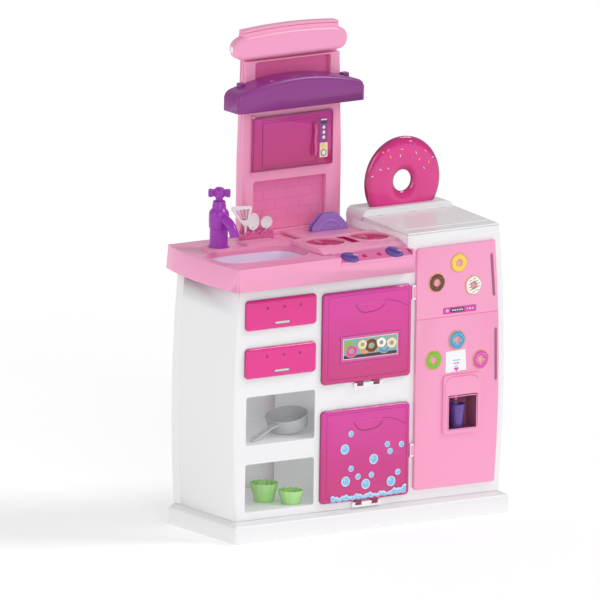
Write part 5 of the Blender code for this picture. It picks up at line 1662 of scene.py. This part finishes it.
class KITCHEN_OT_hood(bpy.types.Operator):
    """Builds the purple hood with its slots and clips"""
    bl_idname = "kitchen.hood"
    bl_label = "Hood"

    def execute(self, context):
        low, high = box_of("hood")
        front = low.y
        bm = copy_of("hood")
        weight = bm.edges.layers.float.new("bevel_weight_edge")
        for edge in bm.edges:
            middle = (edge.verts[0].co + edge.verts[1].co) / 2
            if face_angle(edge) > math.radians(40) and edge.is_convex and middle.z > low.z + 0.004:
                edge[weight] = 1.0 if middle.y < high.y - 0.002 else 0.0
        piece("hood_shell", bm, "hood_purple", stands_for=["hood"], rounding=0.0085,
              segments=7, weighted=True, sharp=38)
        width = high.x - low.x
        crown = high.z
        slots = []
        for share in (0.3, 0.46, 0.62, 0.78):
            x = low.x + share * width
            drop = 0.019 * ((share - 0.5) * width / (width / 2 - 0.017)) ** 2
            slots.append(block((x - 0.008, front + 0.012, crown - drop - 0.0012),
                               (x + 0.008, front + 0.015, crown - drop + 0.0002), 0.0013, 2))
        piece("hood_slots", join(*slots), "lilac_glint")
        clips = []
        for share in (0.115, 0.93):
            x = low.x + share * width
            drop = 0.019 * ((share - 0.5) * width / (width / 2 - 0.017)) ** 2
            clips.append(block((x - 0.0085, high.y - 0.017, crown - drop - 0.003),
                               (x + 0.0085, high.y - 0.0008, crown - drop + 0.0062), 0.005, 2))
        piece("hood_clips", join(*clips), "hood_purple", rounding=0.002)
        return {"FINISHED"}


class KITCHEN_OT_crown(bpy.types.Operator):
    """Builds the rolled crown on top of the tower and its rail"""
    bl_idname = "kitchen.crown"
    bl_label = "Crown"

    def execute(self, context):
        low, high = box_of("crown")
        radius = 0.023
        middle, half = (low.x + high.x) / 2, (high.x - low.x) / 2

        def rise(x):
            return 0.008 * (1 - ((x - middle) / half) ** 2)
        steps = 24
        spans = [high.x - radius - (high.x - low.x - 2 * radius) * i / steps for i in range(steps + 1)]
        top = [(x, low.z + 2 * radius + rise(x)) for x in spans]
        outline = ([(low.x + radius, low.z), (high.x - radius, low.z)]
                   + arc(high.x - radius, low.z + radius, radius, -78, 72, 14)
                   + top + arc(low.x + radius, low.z + radius, radius, 108, 258, 14))
        roll = sheet([outline], low.y, high.y)
        weigh_rims(roll, lambda co: abs(co.y - low.y) < 1e-4 or abs(co.y - high.y) < 1e-4)
        piece("crown_roll", roll, "pink_shell", stands_for=["crown"],
              rounding=sizes().crown_roll, segments=8, weighted=True)

        def rail(inset, bottom, lift):
            line = [(min(max(x, low.x + 0.0034 + inset), high.x - 0.0066 - inset),
                     low.z + 2 * radius + rise(x)) for x in spans]
            return [(x, z + lift) for x, z in line] + [(x, z + bottom) for x, z in line[::-1]]
        ledge = sheet([rail(0.0, -0.002, 0.0066)], low.y + 0.005, high.y - 0.006)
        bead = sheet([rail(-0.003, 0.0078, 0.0128)], low.y + 0.0056, high.y - 0.0066)
        neck = sheet([rail(0.004, 0.006, 0.0085)], low.y + 0.008, high.y - 0.008)
        piece("crown_rail", join(ledge, bead, neck), "pink_shell", rounding=0.0026, segments=5)
        window = block((low.x - 0.0001, low.y + 0.012, low.z + 0.0165), (low.x + 0.003, low.y + 0.0215,
                                                                        low.z + 0.029), 0.0012, 0)
        piece("crown_window", window, "white_shell", rounding=0.0004)
        return {"FINISHED"}


# ---- cookware ----

class KITCHEN_OT_cookware(bpy.types.Operator):
    """Builds the frying pan and the two clear green cups"""
    bl_idname = "kitchen.cookware"
    bl_label = "Cookware"

    def execute(self, context):
        self.pan()
        for node, flutes in (("tall_cup", 14), ("small_cup", 12)):
            self.cup(node, flutes)
        return {"FINISHED"}

    def pan(self):
        low, high = box_of("frying_pan")
        rim, tall = 0.045, 0.03
        turn, tip = math.radians(PAN_TURN), math.radians(PAN_TIP)
        ahead = Vector((-math.cos(turn), -math.sin(turn), 0.0))
        tilt = Matrix.Rotation(tip, 3, Vector((-ahead.y, ahead.x, 0.0)))
        bowl = turned([(rim - 0.0008, tall), (rim, tall - 0.0008), (rim - 0.0004, tall - 0.0022),
                       (rim - 0.0014, tall - 0.0036), (0.0412, 0.004), (0.0398, 0.0014), (0.0375, 0.0002),
                       (0.03, 0.0), (0.029, 0.0006), (0.0, 0.0006), (0.0, 0.0022), (0.036, 0.0022),
                       (0.0384, 0.0032), (0.0398, 0.006), (rim - 0.0032, tall - 0.0036),
                       (rim - 0.0022, tall - 0.0006), (rim - 0.0008, tall)], (0, 0, 0), steps=80)
        rings = [turned([(r - 0.0009, 0.0021), (r, 0.0027), (r + 0.0009, 0.0021)], (0, 0, 0), steps=64)
                 for r in (0.012, 0.022, 0.032)]
        handle = sheet([[(-0.131, -0.0045), (-0.1325, 0.0), (-0.131, 0.0045), (-0.124, 0.0075),
                         (-0.1, 0.0074), (-0.065, 0.0062), (-0.042, 0.009), (-0.042, -0.009),
                         (-0.065, -0.0062), (-0.1, -0.0074), (-0.124, -0.0075)],
                        arc(-0.122, 0.0, 0.003, 0, 345, 23)], 0.0225, 0.0265, "XY")
        spine = bar([(-0.043, 0.0, 0.0222), (-0.07, 0.0, 0.0222), (-0.11, 0.0, 0.0224)], 0.0028,
                    taper=[1.0, 0.8, 0.5])
        for part in (handle, spine):
            bmesh.ops.rotate(part, cent=(0, 0, 0), matrix=Matrix.Rotation(turn, 3, "Z"), verts=part.verts)
        whole = [join(bowl, *rings, spine), handle]
        for part in whole:
            bmesh.ops.rotate(part, cent=(0, 0, 0), matrix=tilt, verts=part.verts)
        corner = [max(v.co.x for v in whole[0].verts), max(v.co.y for v in whole[0].verts),
                  min(v.co.z for v in whole[0].verts)]
        shift = Vector((high.x - corner[0], high.y - corner[1], low.z - corner[2] + 0.0001))
        for part in whole:
            move(part, shift)
        piece("pan_bowl", whole[0], "grey_plastic", "frying_pan", ["frying_pan"])
        piece("pan_handle", whole[1], "grey_plastic", "frying_pan", rounding=0.0012)

    def cup(self, node, flutes):
        low, high = box_of(node)
        centre = (low + high) / 2
        rim, tall = (high.x - low.x) / 2, high.z - low.z
        foot = rim * (0.665 if node == "tall_cup" else 0.727)
        outer = [(foot - 0.001, 0.0), (foot, 0.0008), (foot + 0.25 * (rim - foot), tall * 0.28),
                 (foot + 0.5 * (rim - foot), tall * 0.52), (foot + 0.66 * (rim - foot), tall * 0.56),
                 (foot + 0.9 * (rim - foot), tall * 0.9), (rim - 0.0003, tall)]
        inner = [(r - 0.0016, max(h, 0.0018)) for r, h in outer[::-1]]
        profile = [(0.0, 0.0)] + outer + inner + [(0.0, 0.0018)]
        bm = turned(profile, (0, 0, 0), steps=flutes * 8)
        for vert in bm.verts:
            reach = vert.co.xy.length
            if reach > foot * 0.9:
                share = min(1.0, vert.co.z / tall)
                angle = math.atan2(vert.co.y, vert.co.x)
                flute = 1.0 - 0.055 * share * (0.5 - 0.5 * math.cos(flutes * angle))
                vert.co.x *= flute
                vert.co.y *= flute
                if share > 0.97:
                    vert.co.z -= 0.0014 * (0.5 - 0.5 * math.cos(flutes * angle))
        move(bm, (centre.x, centre.y, low.z))
        piece(node.replace("_cup", "_green_cup"), bm, "green_clear", node, [node], sharp=50)


# ---- stage ----

class KITCHEN_OT_stage(bpy.types.Operator):
    """Builds the floor, the soft lights and the camera"""
    bl_idname = "kitchen.stage"
    bl_label = "Stage"

    def execute(self, context):
        self.floor()
        self.lights()
        self.camera()
        return {"FINISHED"}

    def floor(self):
        bm = bmesh.new()
        bmesh.ops.create_grid(bm, x_segments=8, y_segments=8, size=30.0)
        mesh = bpy.data.meshes.new("floor")
        bm.to_mesh(mesh)
        bm.free()
        made = Finish("pale_floor", Emission_Color=(1.0, 1.0, 1.0), Emission_Strength=0.3,
                      Specular_IOR_Level=0.1)
        mottle = made.noise(2.0, 2.0)
        made.set(Base_Color=made.blend(mottle, (0.9, 0.9, 0.905), (0.925, 0.925, 0.93)),
                 Roughness=mottle * 0.1 + 0.8)
        mesh.materials.append(made.material)
        floor = bpy.data.objects.new("floor", mesh)
        bpy.context.scene.collection.objects.link(floor)

    def lights(self):
        """An even pale sky, a soft key from the upper right and a weak light from the front."""
        world = bpy.data.worlds.new("studio")
        world.use_nodes = True
        world.node_tree.nodes["Background"].inputs["Color"].default_value = (1.0, 1.0, 1.0, 1.0)
        world.node_tree.nodes["Background"].inputs["Strength"].default_value = 0.5
        bpy.context.scene.world = world
        rigs = (("key", (1.6, -0.9, 1.9), 0.85, 20.0), ("front", (-0.35, -1.0, 0.35), 0.58, 34.0),
                ("side", (-1.0, 0.05, 0.25), 0.42, 40.0))
        for name, heading, power, spread in rigs:
            light = bpy.data.lights.new(name, "SUN")
            light.angle = math.radians(spread)
            light.energy = power
            lamp = bpy.data.objects.new(name, light)
            lamp.rotation_euler = (-Vector(heading)).to_track_quat("-Z", "Y").to_euler()
            bpy.context.scene.collection.objects.link(lamp)

    def camera(self):
        """A parallel view from the left, a little above, with a slight roll."""
        turn, rise, roll = [math.radians(angle) for angle in VIEW_ANGLES]
        across = Vector((math.cos(turn), -math.sin(turn), 0.0))
        upward = Vector((math.sin(turn) * math.sin(rise), math.cos(turn) * math.sin(rise), math.cos(rise)))
        back = across.cross(upward)
        right = across * math.cos(roll) + upward * math.sin(roll)
        up = upward * math.cos(roll) - across * math.sin(roll)
        target = CORNER + across * 0.12394 + upward * 0.50365
        data = bpy.data.cameras.new("camera")
        data.type = "ORTHO"
        data.ortho_scale = VIEW_WIDTH
        data.clip_end = 60.0
        camera = bpy.data.objects.new("camera", data)
        place = target + back * 4.0
        camera.matrix_world = Matrix(((right.x, up.x, back.x, place.x), (right.y, up.y, back.y, place.y),
                                      (right.z, up.z, back.z, place.z), (0, 0, 0, 1)))
        bpy.context.scene.collection.objects.link(camera)
        bpy.context.scene.camera = camera
        bpy.context.scene.view_settings.view_transform = "Standard"


# ---- panel, registration and run ----

STEPS = (KITCHEN_OT_stage, KITCHEN_OT_casing, KITCHEN_OT_worktop, KITCHEN_OT_sink, KITCHEN_OT_tap,
         KITCHEN_OT_hob, KITCHEN_OT_controls, KITCHEN_OT_plates, KITCHEN_OT_utensils, KITCHEN_OT_drawers,
         KITCHEN_OT_doors, KITCHEN_OT_pictures, KITCHEN_OT_fridge_top, KITCHEN_OT_fridge_door,
         KITCHEN_OT_magnets, KITCHEN_OT_sign, KITCHEN_OT_tower, KITCHEN_OT_microwave, KITCHEN_OT_hood,
         KITCHEN_OT_crown, KITCHEN_OT_cookware)


class KITCHEN_PT_looks(bpy.types.Panel):
    """Lists the sizes, the colours and the building steps"""
    bl_idname = "KITCHEN_PT_looks"
    bl_label = "Toy kitchen"
    bl_space_type = "VIEW_3D"
    bl_region_type = "UI"
    bl_category = "Kitchen"

    def draw(self, context):
        for group in (context.scene.kitchen_sizes, context.scene.kitchen_colours):
            column = self.layout.column()
            for name in group.__annotations__:
                column.prop(group, name)
        for step in STEPS:
            self.layout.operator(step.bl_idname)


CLASSES = (KitchenSizes, KitchenColours) + STEPS + (KITCHEN_PT_looks,)


def register():
    for item in CLASSES:
        bpy.utils.register_class(item)
    bpy.types.Scene.kitchen_sizes = PointerProperty(type=KitchenSizes)
    bpy.types.Scene.kitchen_colours = PointerProperty(type=KitchenColours)


def unregister():
    del bpy.types.Scene.kitchen_colours
    del bpy.types.Scene.kitchen_sizes
    for item in reversed(CLASSES):
        bpy.utils.unregister_class(item)


def main():
    register()
    for step in STEPS:
        name = step.bl_idname.split(".")[1]
        getattr(bpy.ops.kitchen, name)()


if __name__ == "__main__":
    main()
